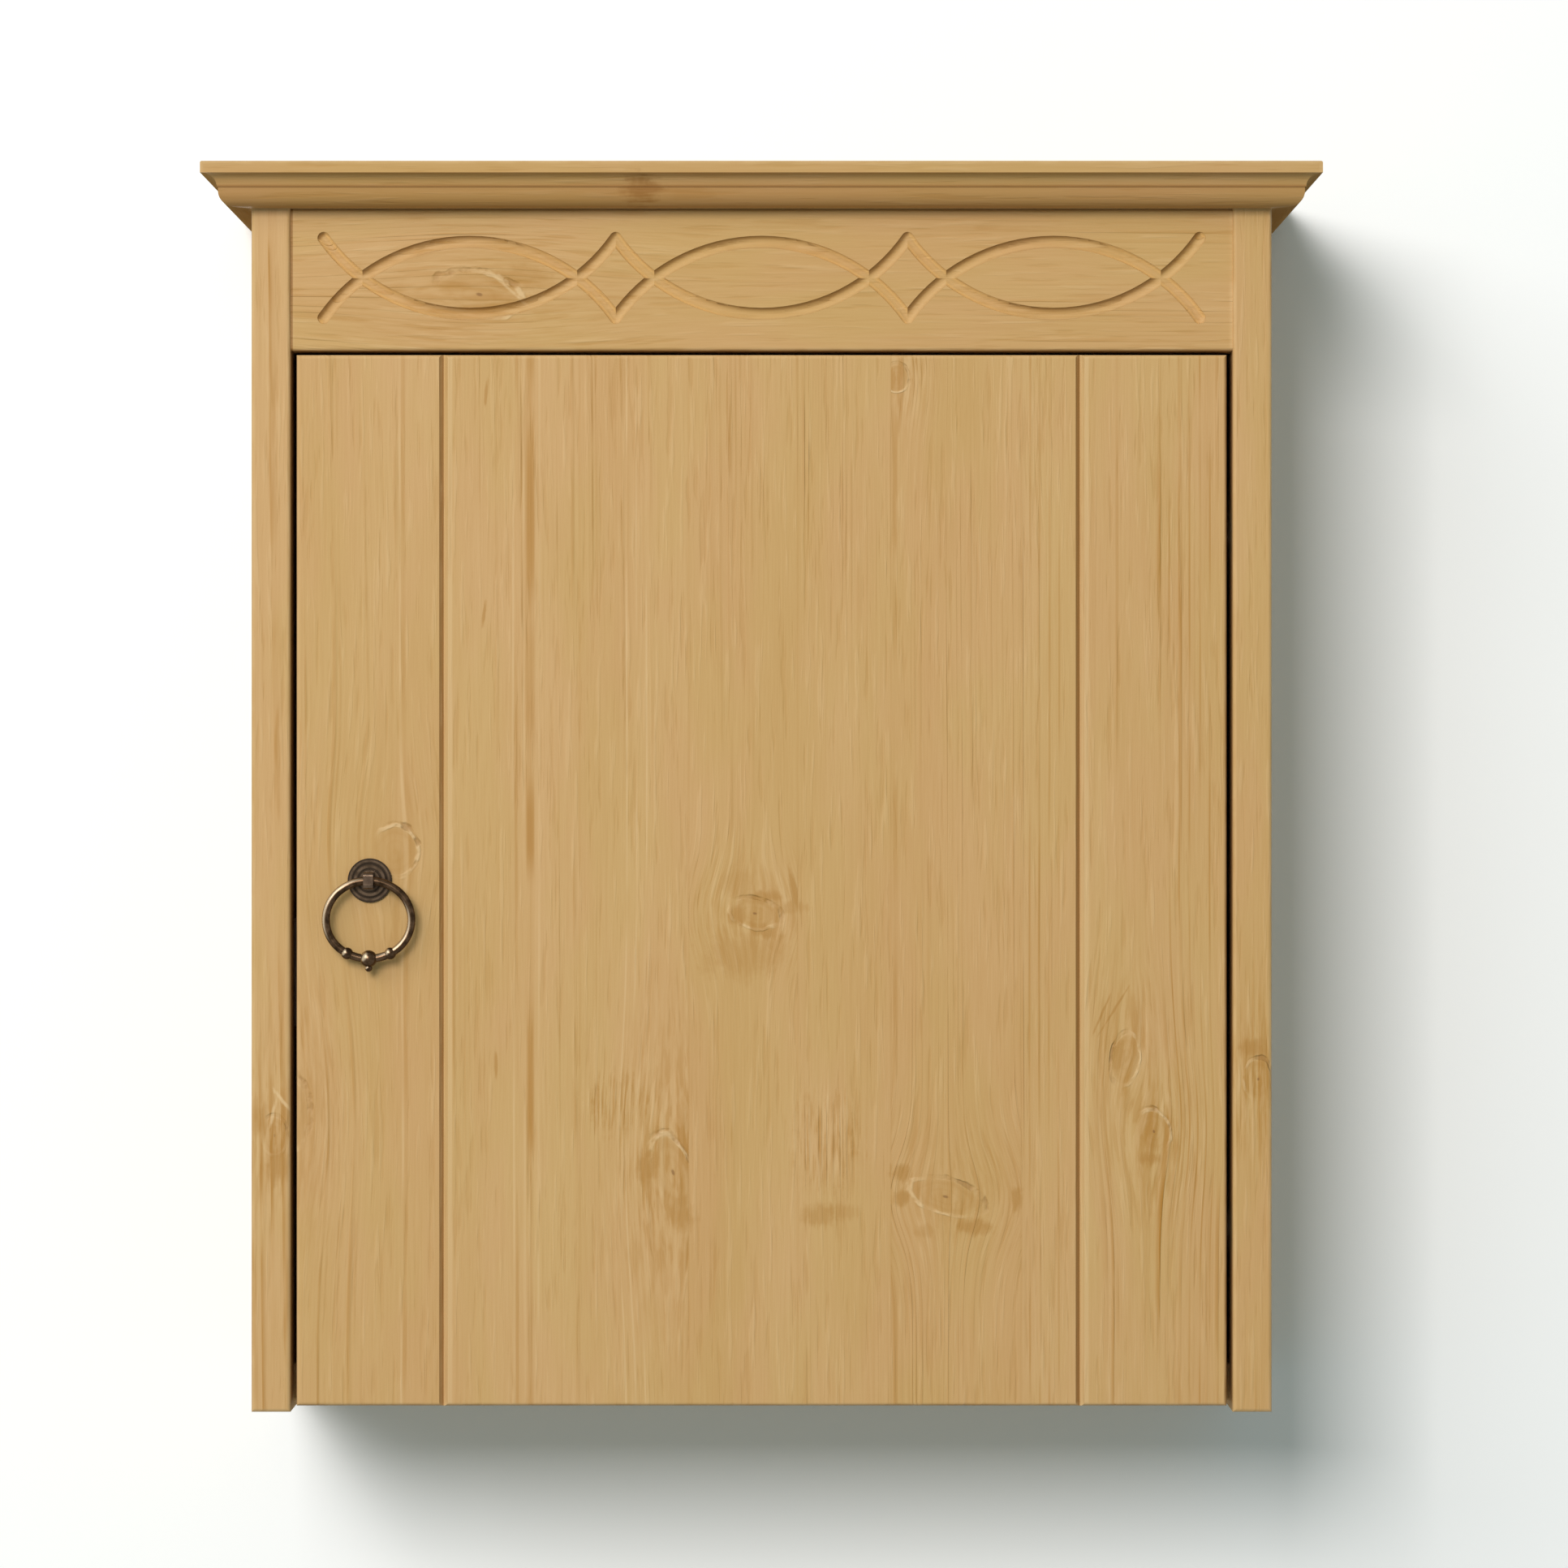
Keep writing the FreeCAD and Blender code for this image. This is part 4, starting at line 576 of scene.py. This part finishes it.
through = 5.0    # a knot or mark that goes right through its board
# foot and quirk set the painted shade on the cornice's lower tiers and the painted shadow line under
# its ledge
crown = {"pith": (0.05, 0.03), "foot": (0.0150, 0.47, 0.09), "quirk": 0.0097, "gloss": 0.0}
boards = {
    "door_left_board": {
        "grain": "z", "seed": 1, "pith": (0.02, 0.06), "lean": 0.008, "groove": (0.0024, 0.7),
        "stripes": [(0.0532, 0.0009, 0.35, "cream"), (0.0550, 0.0016, 0.35, "lateWood")],
        "knots": [
            {"spot": (0.0508, 0, 0.2850), "half": (0.0110, through, 0.0128), "shade": 0.34, "heart": 0,
             "paleSide": 20, "paleFrom": -0.7, "crackSide": 40, "rim": 1.1, "brushed": 0.22},
            {"spot": (-0.006, 0, 0.150), "half": (0.012, through, 0.020), "shade": 0.3, "heart": 0,
             "brushed": 0.5},
        ],
    },
    "door_centre_panel": {
        "grain": "z", "seed": 2, "pith": (0.0, 0.05), "swing": 0.34, "groove": (0.0024, 0.7),
        "arris": 0.0082,
        "staves": [0.051, 0.076, 0.132, 0.188, 0.236, 0.303],
        "knots": [
            {"spot": (0.166, 0, 0.253), "half": (0.013, through, 0.0075), "tilt": 12, "crackSide": 60,
             "brushed": 0.75},
            {"spot": (0.124, 0, 0.120), "half": (0.0095, through, 0.020), "tilt": -20, "crackSide": 40,
             "paleSide": 70},
            {"spot": (0.264, 0, 0.1075), "half": (0.0185, through, 0.0085), "tilt": 14, "crackSide": 40,
             "paleSide": 220, "brushed": 0.55},
            {"spot": (0.239, 0, 0.528), "half": (0.006, through, 0.007), "shade": 0.4, "heart": 0},
        ],
        "stripes": [
            (0.0420, 0.0008, 0.35, "cream"),
            (0.0436, 0.0012, 0.35, "lateWood"),
            (0.0474, 0.0008, 0.30, "cream"),
            (0.0504, 0.0024, 0.68, "lateWood"),
            (0.0545, 0.0008, 0.30, "cream"),
            (0.1004, 0.0007, 0.40, "cream"),
            (0.1054, 0.0007, 0.40, "cream"),
            (0.1104, 0.0007, 0.35, "cream"),
            (0.2380, 0.0018, 0.40, "lateWood"),
            (0.3075, 0.0008, 0.45, "lateWood"),
            (0.3125, 0.0008, 0.45, "lateWood"),
            (0.3175, 0.0008, 0.45, "lateWood"),
            (0.3225, 0.0008, 0.35, "lateWood"),
        ],
        "fields": [
            {"spot": (0.203, 0, 0.136), "half": (0.024, through, 0.035), "shade": 0.9},
            {"spot": (0.098, 0, 0.155), "half": (0.026, through, 0.024), "shade": 0.9},
        ],
        "smudges": [
            {"spot": (0.171, 0, 0.2615), "half": (0.012, through, 0.004)},
            {"spot": (0.184, 0, 0.256), "half": (0.012, through, 0.004), "shade": 0.4},
            {"spot": (0.157, 0, 0.252), "half": (0.006, through, 0.007)},
            {"spot": (0.170, 0, 0.244), "half": (0.011, through, 0.004), "tilt": 20},
            {"spot": (0.186, 0, 0.266), "half": (0.002, through, 0.013), "tilt": -12},
            {"spot": (0.160, 0, 0.232), "half": (0.026, through, 0.015), "shade": 0.42},
            {"spot": (0.157, 0, 0.268), "half": (0.011, through, 0.011), "shade": 0.35},
            {"spot": (0.111, 0, 0.122), "half": (0.007, through, 0.011)},
            {"spot": (0.128, 0, 0.099), "half": (0.009, through, 0.012), "shade": 0.55},
            {"spot": (0.241, 0, 0.120), "half": (0.007, through, 0.006)},
            {"spot": (0.242, 0, 0.107), "half": (0.006, through, 0.005)},
            {"spot": (0.278, 0, 0.092), "half": (0.012, through, 0.005)},
            {"spot": (0.253, 0, 0.090), "half": (0.007, through, 0.004), "shade": 0.35},
            {"spot": (0.300, 0, 0.107), "half": (0.004, through, 0.009)},
            {"spot": (0.199, 0, 0.098), "half": (0.011, through, 0.008), "shade": 0.55},
            {"spot": (0.212, 0, 0.100), "half": (0.010, through, 0.006), "shade": 0.4},
            {"spot": (0.028, 0, 0.520), "half": (0.0012, through, 0.009), "tilt": 8},
            {"spot": (0.027, 0, 0.407), "half": (0.0012, through, 0.009), "tilt": 8},
            {"spot": (0.033, 0, 0.176), "half": (0.0012, through, 0.010)},
        ],
    },
    "door_right_board": {
        "grain": "z", "seed": 3, "pith": (-0.02, 0.06), "groove": (0.0024, 0.7),
        "arris": 0.0022, "lines": 0.85,
        "stripes": [
            (0.0190, 0.0012, 0.30, "lateWood"),
            (0.0458, 0.0007, 0.55, "lateWood"),
            (0.0508, 0.0007, 0.55, "lateWood"),
            (0.0562, 0.0007, 0.55, "lateWood"),
            (0.0617, 0.0007, 0.55, "lateWood"),
            (0.0667, 0.0007, 0.55, "lateWood"),
        ],
        "knots": [
            {"spot": (0.038, 0, 0.141), "half": (0.008, through, 0.011), "tilt": -20, "crackSide": 40,
             "paleSide": 20},
            {"spot": (0.0235, 0, 0.178), "half": (0.0070, through, 0.0130), "tilt": 8, "crackSide": 170,
             "paleSide": 0, "heart": 0, "brushed": 0.8},
        ],
        "smudges": [
            {"spot": (0.020, 0, 0.180), "half": (0.004, through, 0.011), "shade": 0.55},
            {"spot": (0.036, 0, 0.127), "half": (0.008, through, 0.004)},
            {"spot": (0.012, 0, 0.203), "half": (0.0008, through, 0.016), "tilt": 24},
            {"spot": (0.018, 0, 0.204), "half": (0.0008, through, 0.019), "tilt": 32},
        ],
    },
    "left_side": {
        "grain": "z", "cross": ("Y", "X"), "seed": 4, "pith": (0.02, 0.05), "staves": [0.075, 0.150],
        "lines": 1.2,
        "knots": [
            {"spot": (0.012, 0, 0.142), "half": (0.006, 0.012, 0.010), "rim": 0.3, "shade": 0.3,
             "heart": 0.3},
            {"spot": (0, 0.13, 0.40), "half": (through, 0.009, 0.013)},
        ],
        "smudges": [
            {"spot": (0.014, 0, 0.126), "half": (0.007, 0.012, 0.012)},
            {"spot": (0.005, 0, 0.150), "half": (0.006, 0.012, 0.010), "shade": 0.45},
            {"spot": (0.011, 0, 0.153), "half": (0.0013, 0.012, 0.012), "tilt": 15, "tint": "cream"},
            {"spot": (0.016, 0, 0.160), "half": (0.0013, 0.012, 0.009), "tilt": -38, "tint": "cream"},
        ],
    },
    "right_side": {
        "grain": "z", "cross": ("Y", "X"), "seed": 5, "pith": (-0.02, 0.05), "staves": [0.070, 0.148],
        "lines": 0.70,
        "knots": [
            {"spot": (0.013, 0, 0.171), "half": (0.007, 0.014, 0.010), "paleSide": 150, "rim": 0.6},
            {"spot": (0, 0.10, 0.24), "half": (through, 0.010, 0.012)},
        ],
        "smudges": [{"spot": (0.010, 0, 0.187), "half": (0.008, 0.014, 0.006)}],
    },
    "frieze_rail": {
        "grain": "x", "seed": 6, "pith": (0.05, 0.05), "groove": (0.0026, 0.6), "combed": 0.5,
        # the band at the frieze's left end is a painted shadow from the side panel
        "gloss": 0.16, "sideShadow": (0.0016, 0.75),
        "knots": [
            {"spot": (0.097, 0, 0.029), "half": (0.021, through, 0.011), "tilt": 12, "shade": 0.3,
             "crackSide": 100, "paleSide": 20},
        ],
        "smudges": [
            {"spot": (0.122, 0, 0.038), "half": (0.016, through, 0.009), "shade": 0.45},
            {"spot": (0.111, 0, 0.033), "half": (0.0012, through, 0.016), "tilt": -48, "tint": "cream",
             "shade": 0.5},
        ],
    },
    "cornice_front": {
        **crown, "grain": "x", "seed": 7, "gloss": 0.08,
        "smudges": [
            {"spot": (0.225, 0, 0.008), "half": (0.012, through, 0.009), "tint": "wax"},
            {"spot": (0.250, 0, 0.006), "half": (0.018, through, 0.004), "shade": 0.35},
        ],
    },
    "cornice_left_return": {**crown, "grain": "y", "seed": 8},
    "cornice_right_return": {**crown, "grain": "y", "seed": 9},
    "top_board": {
        "grain": "x", "cross": ("Y", "Z"), "seed": 10, "pith": (0.03, 0.06), "staves": [0.07, 0.14],
        "knots": [{"spot": (0.16, 0.10, 0), "half": (0.012, 0.009, through), "crackSide": 20}],
    },
    "bottom_panel": {
        "grain": "x", "cross": ("Y", "Z"), "seed": 11, "pith": (0.03, 0.06), "staves": [0.06, 0.12],
    },
    "shelf": {
        "grain": "x", "cross": ("Y", "Z"), "seed": 12, "pith": (0.03, 0.05), "staves": [0.05, 0.11],
    },
    "hanging_rail": {"grain": "x", "seed": 13, "pith": (0.05, 0.05)},
    "door_upper_batten": {"grain": "x", "seed": 14, "pith": (0.05, 0.05)},
    "door_lower_batten": {"grain": "x", "seed": 15, "pith": (0.05, 0.05)},
}
for boardName, board in boards.items():
    pineFinish(boardName, board)
print("pine finished on", len(boards), "boards")


# thin back panel of pressed fibres

fibreBoard = {
    "light": (0.46, 0.31, 0.17, 1),
    "dark": (0.34, 0.21, 0.11, 1),
    "fleck": 420.0,
    "fleckShare": 0.7,
    "patch": 14.0,
    "patchShare": 0.4,
    "mottled": (0.3, 0.8),
    "rough": (0.2, 0.8, 0.6, 0.8),
    "relief": 0.0002,
}


def fibreFinish():
    material, tree, shader = startFinish("fibre_board")
    place = addNode(tree, "ShaderNodeTexCoord").outputs["Object"]
    flecks = cloud(tree, place, fibreBoard["fleck"], detail=4.0, roughness=0.7)
    patches = times(tree, cloud(tree, place, fibreBoard["patch"]), fibreBoard["patchShare"])
    mottle = gain(tree, flecks, fibreBoard["fleckShare"], patches)
    mottle = rampUp(tree, mottle, *fibreBoard["mottled"])
    color = blendColor(tree, mottle, fibreBoard["light"], fibreBoard["dark"])
    tree.links.new(color, shader.inputs["Base Color"])
    tree.links.new(rampUp(tree, flecks, *fibreBoard["rough"]), shader.inputs["Roughness"])
    addRelief(tree, shader, flecks, fibreBoard["relief"])
    return material


dress(["back_panel"], fibreFinish())


# beech dowels

beech = {
    "light": (0.62, 0.45, 0.28, 1),
    "dark": (0.50, 0.33, 0.18, 1),
    "fleck": 600.0,
    "mottled": (0.3, 0.7),
    "rough": (0.2, 0.8, 0.5, 0.7),
}


def beechFinish():
    material, tree, shader = startFinish("beech_dowel")
    place = addNode(tree, "ShaderNodeTexCoord").outputs["Object"]
    flecks = cloud(tree, place, beech["fleck"], detail=3.0, roughness=0.6)
    color = blendColor(tree, rampUp(tree, flecks, *beech["mottled"]), beech["light"], beech["dark"])
    tree.links.new(color, shader.inputs["Base Color"])
    tree.links.new(rampUp(tree, flecks, *beech["rough"]), shader.inputs["Roughness"])
    return material


dress(["bottom_dowels", "frieze_dowels", "rail_dowels", "top_dowels"], beechFinish())


# metals: mottled, dark in the turned grooves, brass with a painted highlight on the side that faces the
# upper-left light

brass = {"mottle": 210.0, "roughness": (0.34, 0.22), "pits": 0.00003}
antiqueBrass = {
    **brass,
    "dark": (0.024, 0.014, 0.007, 1),
    "bright": (0.085, 0.052, 0.029, 1),
    # painted highlight colour, on the side that faces the upper-left lamps
    "wearAndHighlight": (0.540, 0.430, 0.290, 1),
    "highlightSide": (-0.70, -0.62, 0.35),
}
agedBrass = {
    **brass,
    "dark": (0.045, 0.031, 0.021, 1),
    "bright": (0.110, 0.077, 0.051, 1),
}
turnedBrass = {
    **brass,
    "dark": (0.034, 0.023, 0.014, 1),
    "bright": (0.095, 0.066, 0.042, 1),
    # painted highlight colour, on the side that faces the upper-left lamps
    "wearAndHighlight": (0.240, 0.180, 0.118, 1),
    "highlightSide": (-0.56, -0.60, 0.56),
    "patina": (0.018, 0.013, 0.009, 1),
    "grooves": (0.0059, 0.0087, 0.0112),    # radii about the rosette's middle
}
nickelSteel = {
    "dark": (0.52, 0.51, 0.48, 1),
    "bright": (0.68, 0.67, 0.64, 1),
    "mottle": 260.0,
    "roughness": (0.36, 0.24),
    "pits": 0.00001,
}
zincScrew = {
    "dark": (0.46, 0.45, 0.40, 1),
    "bright": (0.66, 0.64, 0.56, 1),
    "mottle": 500.0,
    "roughness": (0.44, 0.30),
    "pits": 0.00002,
}
metalLook = {
    "mottled": (0.32, 0.68),
    "wearAndHighlight": (0.70, 0.93, 0, 0.95),
    "groove": (0.0004, 0.0011, 0.85, 0),
    "rough": (0.25, 0.75),
}


def metalFinish(name, metal, middle=None):
    material, tree, shader = startFinish(name)
    source = addNode(tree, "ShaderNodeTexCoord").outputs
    mottle = cloud(tree, source["Object"], metal["mottle"], detail=4.0, roughness=0.6)
    mottled = rampUp(tree, mottle, *metalLook["mottled"])
    color = blendColor(tree, mottled, metal["dark"], metal["bright"])
    if "wearAndHighlight" in metal:
        # painted highlight on the side that faces the upper-left lamps
        facing = vector(tree, "DOT_PRODUCT", source["Normal"], metal["highlightSide"])
        color = blendColor(tree, rampUp(tree, facing, *metalLook["wearAndHighlight"]), color, metal["wearAndHighlight"])
    if middle:
        away = vector(tree, "SUBTRACT", source["Object"], tuple(middle))
        away = vector(tree, "LENGTH", vector(tree, "MULTIPLY", away, (1, 0, 1)))
        for radius in metal["grooves"]:
            beside = calc(tree, "ABSOLUTE", minus(tree, away, radius))
            groove = rampUp(tree, beside, *metalLook["groove"])
            color = blendColor(tree, groove, color, metal["patina"])
    tree.links.new(color, shader.inputs["Base Color"])
    shader.inputs["Metallic"].default_value = 1.0
    rough = rampUp(tree, mottle, *metalLook["rough"], *metal["roughness"])
    tree.links.new(rough, shader.inputs["Roughness"])
    addRelief(tree, shader, mottle, metal["pits"])
    return material


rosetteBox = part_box("handle_rosette")
rosetteMiddle = (rosetteBox[0] + rosetteBox[1]) / 2
dress(["handle_rosette"], metalFinish("turned_brass", turnedBrass, rosetteMiddle))
dress(["handle_eye"], metalFinish("aged_brass", agedBrass))
dress(["handle_ring"], metalFinish("antique_brass", antiqueBrass))
dress(["upper_hinge_cup", "lower_hinge_cup", "upper_hinge_arm", "lower_hinge_arm",
       "upper_hinge_plate", "lower_hinge_plate", "upper_hinge_pin", "lower_hinge_pin",
       "strike_plate", "handle_washer", "shelf_pins"], metalFinish("nickel_steel", nickelSteel))
dress(["hinge_plate_screws", "hinge_arm_screws", "hinge_cup_screws", "catch_screws",
       "strike_screws", "door_batten_screws", "back_panel_nails", "handle_bolt"],
      metalFinish("zinc_screw", zincScrew))


# catch: moulded case, dark magnet

brownCase = {
    "dark": (0.11, 0.058, 0.03, 1),
    "light": (0.16, 0.088, 0.048, 1),
    "roughness": (0.4, 0.55),
}
darkMagnet = {
    "dark": (0.03, 0.03, 0.032, 1),
    "light": (0.07, 0.07, 0.075, 1),
    "roughness": (0.35, 0.6),
}
mouldLook = {"grain": 1500.0, "mottled": (0.3, 0.7), "relief": 0.00004}


def mouldedFinish(name, mould):
    material, tree, shader = startFinish(name)
    place = addNode(tree, "ShaderNodeTexCoord").outputs["Object"]
    grain = cloud(tree, place, mouldLook["grain"], roughness=0.6)
    color = blendColor(tree, rampUp(tree, grain, *mouldLook["mottled"]), mould["dark"], mould["light"])
    tree.links.new(color, shader.inputs["Base Color"])
    rough = rampUp(tree, grain, *mouldLook["mottled"], *mould["roughness"])
    tree.links.new(rough, shader.inputs["Roughness"])
    addRelief(tree, shader, grain, mouldLook["relief"])
    return material


dress(["catch_housing"], mouldedFinish("brown_case", brownCase))
dress(["catch_magnet"], mouldedFinish("dark_magnet", darkMagnet))
print("fittings finished")


# stage: a white wall that keeps the shadow, and can be looked through from behind

wall = {"half": 4.0, "gap": 0.0006, "white": (1.085, 1.112, 1.090, 1), "bounce": (0.55, 0.55, 0.55, 1)}


def raysSeen(tree, path):
    mirrored = most(tree, path["Is Glossy Ray"], path["Is Transmission Ray"])
    return most(tree, path["Is Camera Ray"], mirrored)


def hangWall():
    bpy.ops.object.select_all(action="DESELECT")
    spot = (0, cadBox[1].y + wall["gap"], cadBox[0].z / 2)
    bpy.ops.mesh.primitive_plane_add(size=2 * wall["half"], location=spot, rotation=(math.pi / 2, 0, 0))
    plane = bpy.context.object
    plane.name = "wall"
    bpy.ops.object.transform_apply(location=True, rotation=True, scale=True)
    material = bpy.data.materials.new("white_wall")
    material.use_nodes = True
    tree = material.node_tree
    tree.nodes.clear()
    path = addNode(tree, "ShaderNodeLightPath").outputs
    back = addNode(tree, "ShaderNodeNewGeometry").outputs["Backfacing"]
    color = blendColor(tree, raysSeen(tree, path), wall["bounce"], wall["white"])
    matt = addNode(tree, "ShaderNodeBsdfDiffuse", {"Color": color}).outputs[0]
    clear = addNode(tree, "ShaderNodeBsdfTransparent").outputs[0]
    lookThrough = most(tree, path["Is Shadow Ray"], back)
    mixed = addNode(tree, "ShaderNodeMixShader", {0: lookThrough, 1: matt, 2: clear}).outputs[0]
    addNode(tree, "ShaderNodeOutputMaterial", {"Surface": mixed})
    plane.data.materials.append(material)


hangWall()


# light: a soft key and a broad side lamp from the upper left, an even sky, and a lamp for the back

# each lamp's place is measured from the middle of the cabinet, towards which it points
lamps = {
    "key": {"spot": (-1.304, -5.0, 1.62), "size": 1.82, "power": 166.0},
    "side": {"spot": (-2.70, -3.4, 2.35), "size": 2.82, "power": 63.5},
    "rear": {"spot": (-0.4, 2.9, 0.8), "size": 2.0, "power": 45.0},
}
lampTint = (1.044, 0.989, 0.989)    # with the cool sky they add up to white
sky = {"fill": 0.27, "white": 1.0, "tint": (0.88, 1.03, 1.03, 1), "seen": (1, 1, 1, 1)}


def hangLamp(name, lamp):
    away = Vector(lamp["spot"])
    bpy.ops.object.light_add(type="AREA", location=(cadBox[0] + cadBox[1]) / 2 + away)
    light = bpy.context.object
    light.name = name
    light.data.size = lamp["size"]
    light.data.energy = lamp["power"]
    light.data.color = lampTint
    light.rotation_euler = (-away).to_track_quat("-Z", "Y").to_euler()


def paintSky():
    world = bpy.data.worlds.new("sky")
    bpy.context.scene.world = world
    world.use_nodes = True
    tree = world.node_tree
    seen = raysSeen(tree, addNode(tree, "ShaderNodeLightPath").outputs)
    strength = gain(tree, seen, sky["white"] - sky["fill"], sky["fill"])
    ground = tree.nodes["Background"]
    tree.links.new(blendColor(tree, seen, sky["tint"], sky["seen"]), ground.inputs["Color"])
    tree.links.new(strength, ground.inputs["Strength"])


for lampName, lamp in lamps.items():
    hangLamp(lampName, lamp)
paintSky()
bpy.context.scene.view_settings.view_transform = "Standard"
print("wall, lamps and sky set")
